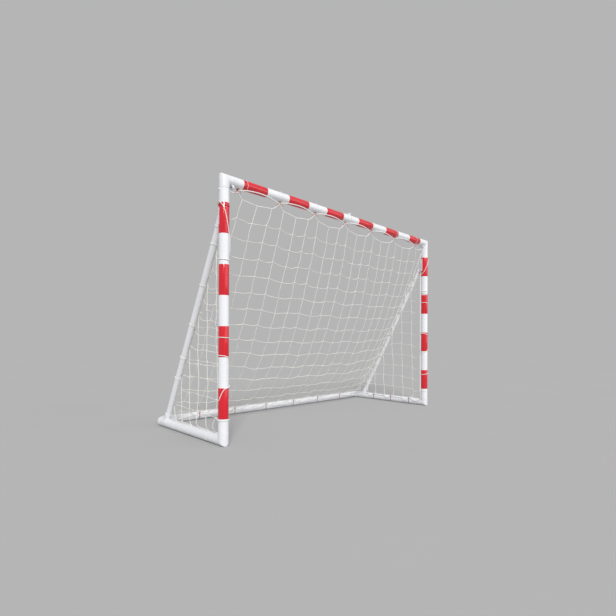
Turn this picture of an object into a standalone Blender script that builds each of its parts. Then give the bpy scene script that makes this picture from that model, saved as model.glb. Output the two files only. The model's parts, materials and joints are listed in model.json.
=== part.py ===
"""Folding handball goal: striped plastic tubes, moulded corners with hinges, and a knotted net.

Metres, +X along the crossbar, +Y towards the back, +Z up. The origin is on the floor, in the
middle of the goal's box. Both side frames stay rigid. The crossbar folds down in the middle and
the back bar folds forward in the middle, so that the right side frame closes onto the left one.
"""

import math

import bmesh
import bpy
import numpy as np
from mathutils import Matrix, Vector

# Main sizes
INNER_WIDTH = 2.400
INNER_HEIGHT = 1.700
BASE_DEPTH = 0.955
STRUT_TOP_DROP = 0.165
STRUT_FOOT_INSET = 0.117

# Tubes
TUBE_RADIUS = 0.034
TUBE_WALL = 0.0035
STRUT_RADIUS = 0.020
STRUT_WALL = 0.0025
SEAT_GAP = 0.0003
TUBE_SIDES = 20
STRUT_SIDES = 16

# Moulded fittings
FITTING_PROUD = 0.0005
CORNER_REACH = 0.062
SPIGOT_LENGTH = 0.045
SPIGOT_WALL = 0.0045
MITRE_ROUNDING = 0.007
MITRE_STEPS = 2
BACK_BEND_RADIUS = 0.050
BACK_BEND_STEPS = 4
SADDLE_WALL = 0.003
SADDLE_MARGIN = 0.016
SADDLE_SEGMENTS = 9
SOCKET_DEPTH = 0.035
SOCKET_WALL = 0.0025

# Hinges
PIN_STANDOFF = 0.0095
PIN_RADIUS = 0.004
PIN_HEAD_RADIUS = 0.006
PIN_HEAD_HEIGHT = 0.002
PIN_SIDES = 10
BORE_CLEARANCE = 0.0003
KNUCKLE_WALL = 0.0037
KNUCKLE_SIDES = 12
HINGE_WIDTH = 0.040
MIDDLE_KNUCKLE_WIDTH = 0.018
KNUCKLE_GAP = 0.0005
LUG_LENGTH = 0.018
LUG_DEPTH = 0.0075
END_COLLAR = 0.022
FOLD_GAP = 0.0006

# Red film bonded round the white tubes in bands
BAND_LENGTH = 0.200
BAND_THICKNESS = 0.0003
POST_TOP_WHITE = 0.190
POST_FOOT_WHITE = 0.150

# Net and what holds it
NET_MESH = 0.120
TWINE_WIDTH = 0.003
TWINE_DEPTH = 0.0025
NET_FRONT_INSET = 0.026
NET_EDGE_SAG = 0.055
LEVEL_SLACK = (1.02, 1.09)
UPRIGHT_SLACK = (1.000, 1.018)
HEM_SLACK = 1.07
HOLD_HALF = 0.006
NET_FLOOR = 0.008
NET_CLEARANCE = 0.008
NET_SEED = 41
SEAM_GAP = 0.002
SHORTEST_STRAND = 0.35
TIE_EVERY = 3
FIRST_TIE_MESHES = 0.56
TIE_DROP = 0.062
TIE_THICKNESS = 0.003
TIE_NECK = 0.010
TIE_SIDES = 10
CLIP_WIDTH = 0.008
CLIP_THICKNESS = 0.002
CLIP_SEGMENTS = 6
CLIP_SWEEP = math.radians(216)
HOOK_HEIGHT = 0.006
HOOK_STEM = 0.003
FIRST_CLIP_MESHES = 1.2
CLIP_MESHES = 2
SIDE_CLIPS = 3
BACK_CLIPS = 3

# How the net is let hang
STEP_FALL = 0.0039
POINT_MASS = 0.002
TWINE_STIFFNESS = 2500
TIME_STEP = 0.02
STEPS = 40
PULLS_PER_STEP = 12
SPEED_KEPT = 0.9

# Sizes that follow from those above
FITTING_RADIUS = TUBE_RADIUS + FITTING_PROUD
BAND_RADIUS = TUBE_RADIUS + BAND_THICKNESS
SEAT_RADIUS = BAND_RADIUS + SEAT_GAP
SPIGOT_RADIUS = (TUBE_RADIUS - TUBE_WALL) * math.cos(math.pi / TUBE_SIDES) - SEAT_GAP
KNUCKLE_RADIUS = PIN_RADIUS + BORE_CLEARANCE + KNUCKLE_WALL
PIN_OFFSET = TUBE_RADIUS + PIN_STANDOFF
FLAT = math.cos(math.pi / TUBE_SIDES)
POST_X = INNER_WIDTH / 2 + TUBE_RADIUS
BASE_Z = FITTING_RADIUS * FLAT
BAR_Z = INNER_HEIGHT + TUBE_RADIUS
TIE_REACH = SEAT_RADIUS + TIE_THICKNESS
OVERALL_DEPTH = TIE_REACH + BASE_DEPTH + PIN_OFFSET + KNUCKLE_RADIUS
POST_Y = TIE_REACH - OVERALL_DEPTH / 2
BACK_Y = POST_Y + BASE_DEPTH
FOLD_X = POST_X - CORNER_REACH
STRUT_TOP = Vector((0, POST_Y, BAR_Z - STRUT_TOP_DROP))
STRUT_FOOT = Vector((0, BACK_Y - STRUT_FOOT_INSET, BASE_Z))
CLIP_RADIUS = (TUBE_RADIUS + SEAT_GAP) / math.cos(CLIP_SWEEP / CLIP_SEGMENTS / 2)
HOOK_HOLD = CLIP_RADIUS + CLIP_THICKNESS + HOOK_HEIGHT
HOOK_REACH = HOOK_HOLD + TWINE_DEPTH
NET_INSET = HOOK_HOLD * math.sqrt(0.5)
NET_TOP = Vector((0, POST_Y, BAR_Z - TIE_DROP + TIE_THICKNESS / 2 + TWINE_WIDTH / 2 + SEAT_GAP))
NET_FOOT = Vector((0, BACK_Y - NET_INSET, BASE_Z + NET_INSET))
NET_FRONT = POST_Y + NET_FRONT_INSET
NET_X = POST_X - NET_INSET
NET_HALF_WIDTH = NET_X - TWINE_DEPTH - TWINE_WIDTH / 2 - SEAM_GAP
NET_COLUMNS = round(2 * NET_HALF_WIDTH / NET_MESH)
COLUMN_PITCH = 2 * NET_HALF_WIDTH / NET_COLUMNS

X = Vector((1, 0, 0))
Y = Vector((0, 1, 0))
Z = Vector((0, 0, 1))

# Finishes: colour, roughness, metallic
WHITE_PLASTIC = ((0.88, 0.88, 0.90, 1), 0.30, 0.0)
RED_FILM = ((0.72, 0.012, 0.035, 1), 0.28, 0.0)
ZINC_STEEL = ((0.62, 0.63, 0.65, 1), 0.35, 1.0)
RED_TIE = ((0.62, 0.10, 0.06, 1), 0.55, 0.0)
NET_TWINE = ((0.80, 0.77, 0.68, 1), 0.75, 0.0)


# Scene helpers


def clear_scene():
    """Remove every object that the file holds."""
    for old in list(bpy.data.objects):
        bpy.data.objects.remove(old, do_unlink=True)


def pivot(name, place, parent=None):
    """Return an empty that stands on a joint's axis and carries one moving body."""
    empty = bpy.data.objects.new(name, None)
    empty.empty_display_size = 0.1
    empty.location = place - (parent.matrix_world.translation if parent else Vector())
    empty.parent = parent
    bpy.context.collection.objects.link(empty)
    bpy.context.view_layer.update()
    return empty


def add_piece(name, bm, body, *finishes):
    """Make an object of a mesh in world coordinates, with its origin on its body's pivot."""
    bmesh.ops.recalc_face_normals(bm, faces=bm.faces[:])
    bmesh.ops.transform(bm, matrix=Matrix.Translation(-body.matrix_world.translation), verts=bm.verts[:])
    mesh = bpy.data.meshes.new(name)
    bm.to_mesh(mesh)
    bm.free()
    mesh.shade_smooth()
    mesh.set_sharp_from_angle(angle=math.radians(35))
    for finish in finishes:
        mesh.materials.append(make_material(name, finish))
    piece = bpy.data.objects.new(name, mesh)
    piece.parent = body
    bpy.context.collection.objects.link(piece)
    return piece


def make_material(name, finish):
    """Return a Principled material with the finish's colour, roughness and metallic value."""
    colour, roughness, metallic = finish
    material = bpy.data.materials.new(name)
    material.use_nodes = True
    shader = material.node_tree.nodes["Principled BSDF"]
    shader.inputs["Base Color"].default_value = colour
    shader.inputs["Roughness"].default_value = roughness
    shader.inputs["Metallic"].default_value = metallic
    material.diffuse_color = colour
    return material


def boolean(bm, other, operation):
    """Combine two closed meshes with the exact solver and return the result."""
    objects = []
    for label, source in (("solid", bm), ("tool", other)):
        bmesh.ops.recalc_face_normals(source, faces=source.faces[:])
        mesh = bpy.data.meshes.new(label)
        source.to_mesh(mesh)
        source.free()
        objects.append(bpy.data.objects.new(label, mesh))
        bpy.context.collection.objects.link(objects[-1])
    solid, tool = objects
    modifier = solid.modifiers.new(operation, "BOOLEAN")
    modifier.operation = operation
    modifier.solver = "EXACT"
    modifier.object = tool
    depsgraph = bpy.context.evaluated_depsgraph_get()
    result = bmesh.new()
    result.from_object(solid, depsgraph)
    for used in objects:
        mesh = used.data
        bpy.data.objects.remove(used, do_unlink=True)
        bpy.data.meshes.remove(mesh)
    return result


# Shapes


def ring(bm, centre, across, up, radius, sides):
    """Add a ring of vertices, with a flat side facing each of its two axes."""
    points = []
    for index in range(sides):
        angle = (index + 0.5) * 2 * math.pi / sides
        points.append(bm.verts.new(centre + radius * (math.cos(angle) * across + math.sin(angle) * up)))
    return points


def skin(bm, rings, closed=False):
    """Join each ring to the next, and close the ends or the loop."""
    pairs = list(zip(rings, rings[1:]))
    if closed:
        pairs.append((rings[-1], rings[0]))
    else:
        bm.faces.new(rings[0])
        bm.faces.new(list(reversed(rings[-1])))
    for first, second in pairs:
        count = len(first)
        for index in range(count):
            after = (index + 1) % count
            bm.faces.new((first[index], first[after], second[after], second[index]))


def axes_across(direction):
    """Return two directions square to a direction, the second as upright as it can be."""
    upright = Y if abs(direction.dot(Z)) > 0.9 else Z
    across = direction.cross(upright).normalized()
    return across, across.cross(direction).normalized()


def turned(origin, direction, profile, sides):
    """Return a solid turned about a line, from (distance along it, radius) pairs."""
    bm = bmesh.new()
    across, up = axes_across(direction)
    skin(bm, [ring(bm, origin + along * direction, across, up, radius, sides) for along, radius in profile])
    return bm


def hollow_tube(bm, start, end, outer, inner, sides):
    """Add a tube with open ends and a wall."""
    direction = (end - start).normalized()
    across, up = axes_across(direction)
    places = ((start, outer), (end, outer), (end, inner), (start, inner))
    skin(bm, [ring(bm, place, across, up, radius, sides) for place, radius in places], closed=True)


def banded_tube(start, end, bands):
    """Return a tube with open ends, its film bands a little proud, from pairs of distances along it."""
    bm = bmesh.new()
    direction = (end - start).normalized()
    across, up = axes_across(direction)
    stations = [(0, TUBE_RADIUS)]
    for low, high in bands:
        stations += [(low, TUBE_RADIUS), (low, BAND_RADIUS), (high, BAND_RADIUS), (high, TUBE_RADIUS)]
    length = (end - start).length
    stations += [(length, TUBE_RADIUS), (length, TUBE_RADIUS - TUBE_WALL), (0, TUBE_RADIUS - TUBE_WALL)]
    rings = []
    on_film = set()
    for along, radius in stations:
        rings.append(ring(bm, start + along * direction, across, up, radius, TUBE_SIDES))
        if radius == BAND_RADIUS:
            on_film.update(rings[-1])
    skin(bm, rings, closed=True)
    for face in bm.faces:
        face.material_index = int(all(vertex in on_film for vertex in face.verts))
    return bm


def prism(outline, start, end):
    """Return a solid that carries a flat outline from one offset to another."""
    bm = bmesh.new()
    first = [bm.verts.new(point + start) for point in outline]
    second = [bm.verts.new(point + end) for point in outline]
    skin(bm, [first, second])
    return bm


def spigot_rings(bm, corner, arm, across, up):
    """Return the rings of a hollow spigot on an arm, from its blind bore out to the arm's shoulder."""
    bore = SPIGOT_RADIUS - SPIGOT_WALL
    tip = CORNER_REACH + SPIGOT_LENGTH
    stations = ((CORNER_REACH, bore), (tip, bore), (tip, SPIGOT_RADIUS), (CORNER_REACH, SPIGOT_RADIUS))
    return [ring(bm, corner + along * arm, across, up, radius, TUBE_SIDES) for along, radius in stations]


def elbow(corner, first_arm, second_arm, bent, second_spigot):
    """Return a moulded corner between two arms, mitred or bent, with a spigot on one or both."""
    bm = bmesh.new()
    normal = first_arm.cross(second_arm)
    first_out = -second_arm
    second_out = -first_arm
    rings = spigot_rings(bm, corner, first_arm, first_out, normal)
    rings.append(ring(bm, corner + CORNER_REACH * first_arm, first_out, normal, FITTING_RADIUS, TUBE_SIDES))
    radius, steps = (BACK_BEND_RADIUS, BACK_BEND_STEPS) if bent else (MITRE_ROUNDING, MITRE_STEPS)
    middle = corner + radius * (first_arm + second_arm)
    for step in range(steps + 1):
        turn = step / steps * math.pi / 2
        out = math.cos(turn) * first_out + math.sin(turn) * second_out
        across = out if bent else first_out + second_out
        rings.append(ring(bm, middle + radius * out, across, normal, FITTING_RADIUS, TUBE_SIDES))
    reach = CORNER_REACH if second_spigot else CORNER_REACH - FOLD_GAP / 2
    rings.append(ring(bm, corner + reach * second_arm, second_out, normal, FITTING_RADIUS, TUBE_SIDES))
    if second_spigot:
        rings.extend(reversed(spigot_rings(bm, corner, second_arm, second_out, normal)))
    skin(bm, rings)
    return bm


# Hinge shapes, in a frame whose X runs along the piece, Y along the pin and Z from tube to pin


def hinge_frame(pin, along, outward):
    """Return the frame of a hinge from its pin, the piece's own direction and the pin's side."""
    frame = Matrix((along, outward.cross(along), outward)).transposed().to_4x4()
    frame.translation = pin
    return frame


def lug(low, high):
    """Return one knuckle with the web that carries it down into its fitting."""
    outline = []
    for index in range(KNUCKLE_SIDES * 2 // 3 + 1):
        angle = -math.pi / 2 - index * 2 * math.pi / KNUCKLE_SIDES
        outline.append(KNUCKLE_RADIUS * Vector((math.cos(angle), 0, math.sin(angle))))
    root = -(PIN_STANDOFF - FITTING_PROUD) - LUG_DEPTH
    outline.append(Vector((LUG_LENGTH, 0, root + LUG_DEPTH / 2)))
    outline.append(Vector((LUG_LENGTH, 0, root)))
    outline.append(Vector((FOLD_GAP / 2, 0, root)))
    return prism(outline, low * Y, high * Y)


def knuckle_spans(middle):
    """Return where along the pin a hinge half has knuckles: one in the middle, or one each end."""
    half = MIDDLE_KNUCKLE_WIDTH / 2
    if middle:
        return [(-half, half)]
    inner = half + KNUCKLE_GAP
    return [(-HINGE_WIDTH / 2, -inner), (inner, HINGE_WIDTH / 2)]


def add_knuckles(bm, frame, middle):
    """Join a hinge half's lugs to a fitting and drill them for the pin."""
    for low, high in knuckle_spans(middle):
        web = lug(low, high)
        bmesh.ops.transform(web, matrix=frame, verts=web.verts[:])
        bm = boolean(bm, web, "UNION")
    pin_axis = frame.to_3x3() @ Y
    start = frame.translation - HINGE_WIDTH * pin_axis
    bore = PIN_RADIUS + BORE_CLEARANCE
    drill = turned(start, pin_axis, ((0, bore), (2 * HINGE_WIDTH, bore)), KNUCKLE_SIDES)
    return boolean(bm, drill, "DIFFERENCE")


def bar_end(frame, middle):
    """Return the moulded end of a folding bar: a collar at the fold, knuckles, and a spigot."""
    along = frame.to_3x3() @ X
    axis_start = frame.translation - PIN_OFFSET * (frame.to_3x3() @ Z)
    bore = SPIGOT_RADIUS - SPIGOT_WALL
    tip = END_COLLAR + SPIGOT_LENGTH
    profile = (
        (FOLD_GAP / 2, FITTING_RADIUS),
        (END_COLLAR, FITTING_RADIUS),
        (END_COLLAR, SPIGOT_RADIUS),
        (tip, SPIGOT_RADIUS),
        (tip, bore),
        (END_COLLAR, bore),
    )
    return add_knuckles(turned(axis_start, along, profile, TUBE_SIDES), frame, middle)


def hinge_pin(centre, direction):
    """Return a headed pin that runs through the knuckles of one hinge."""
    reach = HINGE_WIDTH / 2 + SEAT_GAP
    profile = (
        (-reach - PIN_HEAD_HEIGHT, PIN_HEAD_RADIUS),
        (-reach, PIN_HEAD_RADIUS),
        (-reach, PIN_RADIUS),
        (reach + PIN_HEAD_HEIGHT, PIN_RADIUS),
    )
    return turned(centre, direction, profile, PIN_SIDES)


# Strut sockets


def saddle(axis_point, axis, outward, low, high, seat):
    """Return a shell that hugs one side of a tube from one place along it to another."""
    across = axis.cross(outward)
    step = 2 * math.pi / TUBE_SIDES
    angles = [(index - SADDLE_SEGMENTS / 2) * step for index in range(SADDLE_SEGMENTS + 1)]
    outline = []
    for radius, order in ((seat, angles), (seat + SADDLE_WALL, list(reversed(angles)))):
        for angle in order:
            outline.append(axis_point + radius * (math.cos(angle) * outward + math.sin(angle) * across))
    return prism(outline, low * axis, high * axis)


def strut_socket(root, strut_axis, tube_axis, outward, seat):
    """Return a saddle with a cup for the strut's end.

    root is where the strut's axis crosses the tube's axis, and strut_axis points away from the tube.
    """
    lean = abs(strut_axis.dot(tube_axis))
    rise = strut_axis.dot(outward)
    start = strut_seat(lean, rise, seat)
    end = start + SOCKET_DEPTH
    cup_radius = STRUT_RADIUS + SEAT_GAP + SOCKET_WALL
    cup = turned(root, strut_axis, ((0, cup_radius), (end, cup_radius)), STRUT_SIDES)
    bore_radius = STRUT_RADIUS + SEAT_GAP
    bore = turned(root, strut_axis, ((start - SEAT_GAP, bore_radius), (2 * end, bore_radius)), STRUT_SIDES)
    cup = boolean(cup, bore, "DIFFERENCE")
    tube_cut = seat + SADDLE_WALL / 2
    cut_from = root - 2 * end * tube_axis
    tube = turned(cut_from, tube_axis, ((0, tube_cut), (4 * end, tube_cut)), TUBE_SIDES)
    cup = boolean(cup, tube, "DIFFERENCE")
    slant = strut_axis.dot(tube_axis) / rise
    centre = (seat + SADDLE_WALL) * slant
    half = cup_radius / rise + SADDLE_MARGIN
    shell = saddle(root, tube_axis, outward, centre - half, centre + half, seat)
    return boolean(shell, cup, "UNION")


def strut_seat(lean, rise, seat):
    """Return how far along the strut's axis its square-cut end clears the saddle."""
    return (seat + SADDLE_WALL + STRUT_RADIUS * lean) / rise


# Net and what holds it


def net_profile(fraction):
    """Return the line of the back net's edge from the crossbar (0) to the back bar (1)."""
    straight = NET_TOP.lerp(NET_FOOT, fraction)
    run = (NET_FOOT - NET_TOP).normalized()
    return straight + 4 * fraction * (1 - fraction) * NET_EDGE_SAG * run.cross(X)


def profile_fraction(before):
    """Return how far down the back net's edge its points stop meeting a condition."""
    low, high = 0.0, 1.0
    for _ in range(40):
        middle = (low + high) / 2
        if before(net_profile(middle)):
            low = middle
        else:
            high = middle
    return low


class Net:
    """A net's knots, the strands between them, how slack each strand is, and which knots are held."""

    def __init__(self, seed):
        """Start an empty net with its own seeded source of small differences."""
        self.chance = np.random.default_rng(seed)
        self.places = []
        self.held = []
        self.strands = []
        self.slack = []

    def knot(self, place, held=False):
        """Add a knot and return its number."""
        self.places.append(tuple(place))
        self.held.append(held)
        return len(self.places) - 1

    def strand(self, first, second, slack):
        """Add a strand, with slack given as one number or as a range to draw it from."""
        self.strands.append((first, second))
        self.slack.append(self.chance.uniform(*slack) if isinstance(slack, tuple) else slack)

    def hem(self, first, second, axis, holders):
        """Add an outer strand, with two held points where each holder carries it."""
        start, end = np.array(self.places[first]), np.array(self.places[second])
        before = first
        for spot in holders:
            for shift in (-HOLD_HALF, HOLD_HALF):
                share = (spot + shift - start[axis]) / (end[axis] - start[axis])
                if not 0 < share < 1:
                    continue
                point = self.knot(start + share * (end - start), True)
                self.strand(before, point, HEM_SLACK)
                before = point
        self.strand(before, second, HEM_SLACK)

    def hang(self):
        """Return where the knots come to rest when the net hangs by its own weight.

        Every strand has a point at its middle. In each step the points fall as they would in free
        air, and then all are moved at once so that stretched twine pulls back to its length.
        """
        knots = len(self.places)
        places = np.array(self.places)
        first, second = np.array(self.strands).T
        middles = knots + np.arange(len(first))
        start = np.concatenate([first, middles])
        end = np.concatenate([middles, second])
        rest = np.linalg.norm(places[second] - places[first], axis=1) / 2 * np.array(self.slack)
        rest = np.concatenate([rest, rest])
        places = np.concatenate([places, (places[first] + places[second]) / 2])
        count = len(places)
        free = np.ones(count, bool)
        free[:knots] = ~np.array(self.held)
        inertia = POINT_MASS / TIME_STEP**2
        matrix = inertia * np.eye(count)
        for one, other, sign in ((start, start, 1), (end, end, 1), (start, end, -1), (end, start, -1)):
            np.add.at(matrix, (one, other), sign * TWINE_STIFFNESS)
        inverse = np.linalg.inv(matrix[np.ix_(free, free)])
        held_pull = matrix[np.ix_(free, ~free)] @ places[~free]
        speed = np.zeros_like(places)
        for _ in range(STEPS):
            before = places
            aim = before + TIME_STEP * speed
            aim[:, 2] -= STEP_FALL
            places = np.where(free[:, None], aim, before)
            for _ in range(PULLS_PER_STEP):
                gap = places[end] - places[start]
                length = np.linalg.norm(gap, axis=1)
                gap *= (np.minimum(1, rest / length) * TWINE_STIFFNESS)[:, None]
                pull = inertia * aim
                for axis in range(3):
                    pull[:, axis] += np.bincount(end, gap[:, axis], count) - np.bincount(start, gap[:, axis], count)
                places = places.copy()
                places[free] = keep_clear(inverse @ (pull[free] - held_pull))
            speed = (places - before) / TIME_STEP * SPEED_KEPT
        return [Vector(place) for place in places[:knots]]

    def solid(self, across, up):
        """Return the hanging net as one closed body, with strands of three-sided section.

        across and up span the plane that the net faces. Each knot has one ridge point in front and
        a corner between each two strands behind, so that neighbouring strands share their edges.
        """
        bm = bmesh.new()
        front = across.cross(up)
        places = self.hang()
        flat = [(place.dot(across), place.dot(up)) for place in places]
        around = [[] for _ in places]
        for first, second in self.strands:
            around[first].append(second)
            around[second].append(first)
        corners = {}
        ridges = []
        for here, place in enumerate(places):
            around[here].sort(key=lambda there: heading(flat, here, there))
            ridges.append(bm.verts.new(place + TWINE_DEPTH * front))
            for position, there in enumerate(around[here]):
                start = heading(flat, here, there)
                after = around[here][(position + 1) % len(around[here])]
                sector = (heading(flat, here, after) - start) % (2 * math.pi)
                distance = TWINE_WIDTH / 2 / math.sin(sector / 2)
                angle = start + sector / 2
                spot = place + distance * (math.cos(angle) * across + math.sin(angle) * up)
                corners[here, there] = bm.verts.new(spot)
            if len(around[here]) > 2:
                bm.faces.new([corners[here, there] for there in around[here]])
        for first, second in self.strands:
            left_here = corners[first, second]
            right_there = corners[second, first]
            right_here = corners[first, around[first][around[first].index(second) - 1]]
            left_there = corners[second, around[second][around[second].index(first) - 1]]
            bm.faces.new((ridges[first], ridges[second], left_there, left_here))
            bm.faces.new((ridges[second], ridges[first], right_here, right_there))
            bm.faces.new((left_here, left_there, right_there, right_here))
        return bm


def keep_clear(places):
    """Return net points lifted off the floor and pushed out of the three base tubes."""
    places[:, 2] = np.maximum(places[:, 2], NET_FLOOR)
    for axis, centre in ((1, BACK_Y), (0, -POST_X), (0, POST_X)):
        middle = np.array((centre, BASE_Z))
        away = places[:, (axis, 2)] - middle
        distance = np.linalg.norm(away, axis=1, keepdims=True)
        places[:, (axis, 2)] = middle + away * np.maximum(1, (TUBE_RADIUS + NET_CLEARANCE) / distance)
    return places


def heading(points, here, there):
    """Return the flat direction from one net point to another."""
    return math.atan2(points[there][1] - points[here][1], points[there][0] - points[here][0])


def back_net():
    """Return the panel from the crossbar down to the back bar, held at its ties, clips and edges."""
    rows = int((NET_FOOT - NET_TOP).length / NET_MESH)
    net = Net(NET_SEED)
    ties = tie_positions()
    clips = back_clip_positions()
    above = []
    for row in range(rows + 1):
        holders = {0: ties, rows: clips}.get(row)
        level = []
        for column in range(NET_COLUMNS + 1):
            place = net_profile(row / rows) + (column * COLUMN_PITCH - NET_HALF_WIDTH) * X
            level.append(net.knot(place, column in (0, NET_COLUMNS)))
            if column and holders is None:
                net.strand(level[-2], level[-1], LEVEL_SLACK)
            elif column:
                net.hem(level[-2], level[-1], 0, holders)
            if row:
                net.strand(above[column], level[column], UPRIGHT_SLACK)
        above = level
    return net.solid(X, (NET_TOP - NET_FOOT).normalized())


def side_net(side):
    """Return the three-cornered panel between a post, a side bar and the back panel's edge."""
    peak = net_profile(profile_fraction(lambda spot: spot.y < NET_FRONT)).z
    rows = round((peak - NET_FOOT.z) / NET_MESH)
    net = Net(NET_SEED + side)
    above = [net.knot((side * NET_X, NET_FRONT, peak), True)]
    above_edge = above[0]
    for row in range(1, rows + 1):
        height = peak + (NET_FOOT.z - peak) * row / rows
        edge_depth = net_profile(profile_fraction(lambda spot: spot.z > height)).y
        level = []
        for column in range(int((edge_depth - NET_FRONT) / NET_MESH - SHORTEST_STRAND) + 1):
            level.append(net.knot((side * NET_X, NET_FRONT + column * NET_MESH, height), column == 0))
            upper = above[column] if column < len(above) else above_edge
            net.strand(upper, level[-1], UPRIGHT_SLACK)
        edge = net.knot((side * NET_X, edge_depth, height), True)
        net.strand(above_edge, edge, UPRIGHT_SLACK)
        for before, after in zip(level, level[1:] + [edge]):
            if row < rows:
                net.strand(before, after, LEVEL_SLACK)
            else:
                net.hem(before, after, 1, side_clip_positions())
        above, above_edge = level, edge
    return net.solid(-side * Y, Z)


def side_clip_positions():
    """Return how far along Y the snap clips of a side bar sit."""
    return [NET_FRONT + (FIRST_CLIP_MESHES + index * CLIP_MESHES) * NET_MESH for index in range(SIDE_CLIPS)]


def back_clip_positions():
    """Return where along the back bar its snap clips sit, midway between columns of the net."""
    half = [(index + 0.5) * TIE_EVERY * COLUMN_PITCH for index in range(BACK_CLIPS)]
    return sorted([-place for place in half] + half)


def tie_positions():
    """Return where the crossbar's ties sit, every few meshes, clear of the folds."""
    room = END_COLLAR + TIE_THICKNESS
    places = []
    position = FIRST_TIE_MESHES * COLUMN_PITCH - NET_HALF_WIDTH
    while position < FOLD_X - room:
        near = next((fold for fold in (-FOLD_X, 0) if abs(position - fold) < room), None)
        places.append(position if near is None else near + room)
        position += TIE_EVERY * COLUMN_PITCH
    return places


def tie_loop(position):
    """Return an elastic loop that hangs the net's top edge under the crossbar.

    It follows a polygon over the bar, with a flat side in front and one behind, and then runs
    straight down to the short side that holds the net.
    """
    bm = bmesh.new()
    half = TIE_THICKNESS / 2
    step = 2 * math.pi / TIE_SIDES
    loop_radius = (SEAT_RADIUS + half) / math.cos(step / 2)
    route = [Vector((0, -TIE_NECK / 2, -TIE_DROP)), Vector((0, TIE_NECK / 2, -TIE_DROP))]
    for index in range(TIE_SIDES // 2 + 2):
        angle = (index - 0.5) * step
        route.append(loop_radius * Vector((0, math.cos(angle), math.sin(angle))))
    centre = Vector((position, POST_Y, BAR_Z))
    rings = []
    for index, spot in enumerate(route):
        before = (spot - route[index - 1]).normalized()
        after = (route[(index + 1) % len(route)] - spot).normalized()
        out = (before - after).normalized()
        reach = half / math.sqrt((1 + before.dot(after)) / 2)
        corners = (spot + reach * out, spot + half * X, spot - reach * out, spot - half * X)
        rings.append([bm.verts.new(centre + corner) for corner in corners])
    skin(bm, rings, closed=True)
    return bm


def clip_outline(inward):
    """Return a snap clip's outline round a base tube, open below, with its hook on the inner side."""
    inner = []
    outer = []
    for index in range(CLIP_SEGMENTS + 1):
        angle = math.pi / 2 + (index / CLIP_SEGMENTS - 0.5) * CLIP_SWEEP
        way = math.cos(angle) * inward + math.sin(angle) * Z
        inner.append(CLIP_RADIUS * way)
        outer.append((CLIP_RADIUS + CLIP_THICKNESS) * way)
    tilt = (inward + Z).normalized()
    beside = (inward - Z).normalized()
    first = next(index for index, spot in enumerate(outer) if spot.dot(Z) > spot.dot(inward))
    surface = (outer[first] - outer[first - 1]).normalized()
    stem = 2 * TWINE_WIDTH
    low_side = meet(outer[first - 1], surface, beside, stem)
    high_side = meet(outer[first - 1], surface, beside, stem - HOOK_STEM)
    hook = [
        low_side,
        stem * beside + (HOOK_REACH + HOOK_STEM) * tilt,
        -TWINE_WIDTH * beside + (HOOK_REACH + HOOK_STEM) * tilt,
        -TWINE_WIDTH * beside + HOOK_REACH * tilt,
        (stem - HOOK_STEM) * beside + HOOK_REACH * tilt,
        high_side,
    ]
    outline = outer[:first] + hook + outer[first:]
    return outline + list(reversed(inner))


def meet(start, surface, beside, offset):
    """Return the point of a line from start along surface that lies at an offset beside the hook."""
    along = (offset - start.dot(beside)) / surface.dot(beside)
    return start + along * surface


def snap_clip(centre, axis, inward):
    """Return one snap clip round a base tube."""
    outline = [centre + spot for spot in clip_outline(inward)]
    return prism(outline, -CLIP_WIDTH / 2 * axis, CLIP_WIDTH / 2 * axis)


# Sub-assemblies


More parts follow.
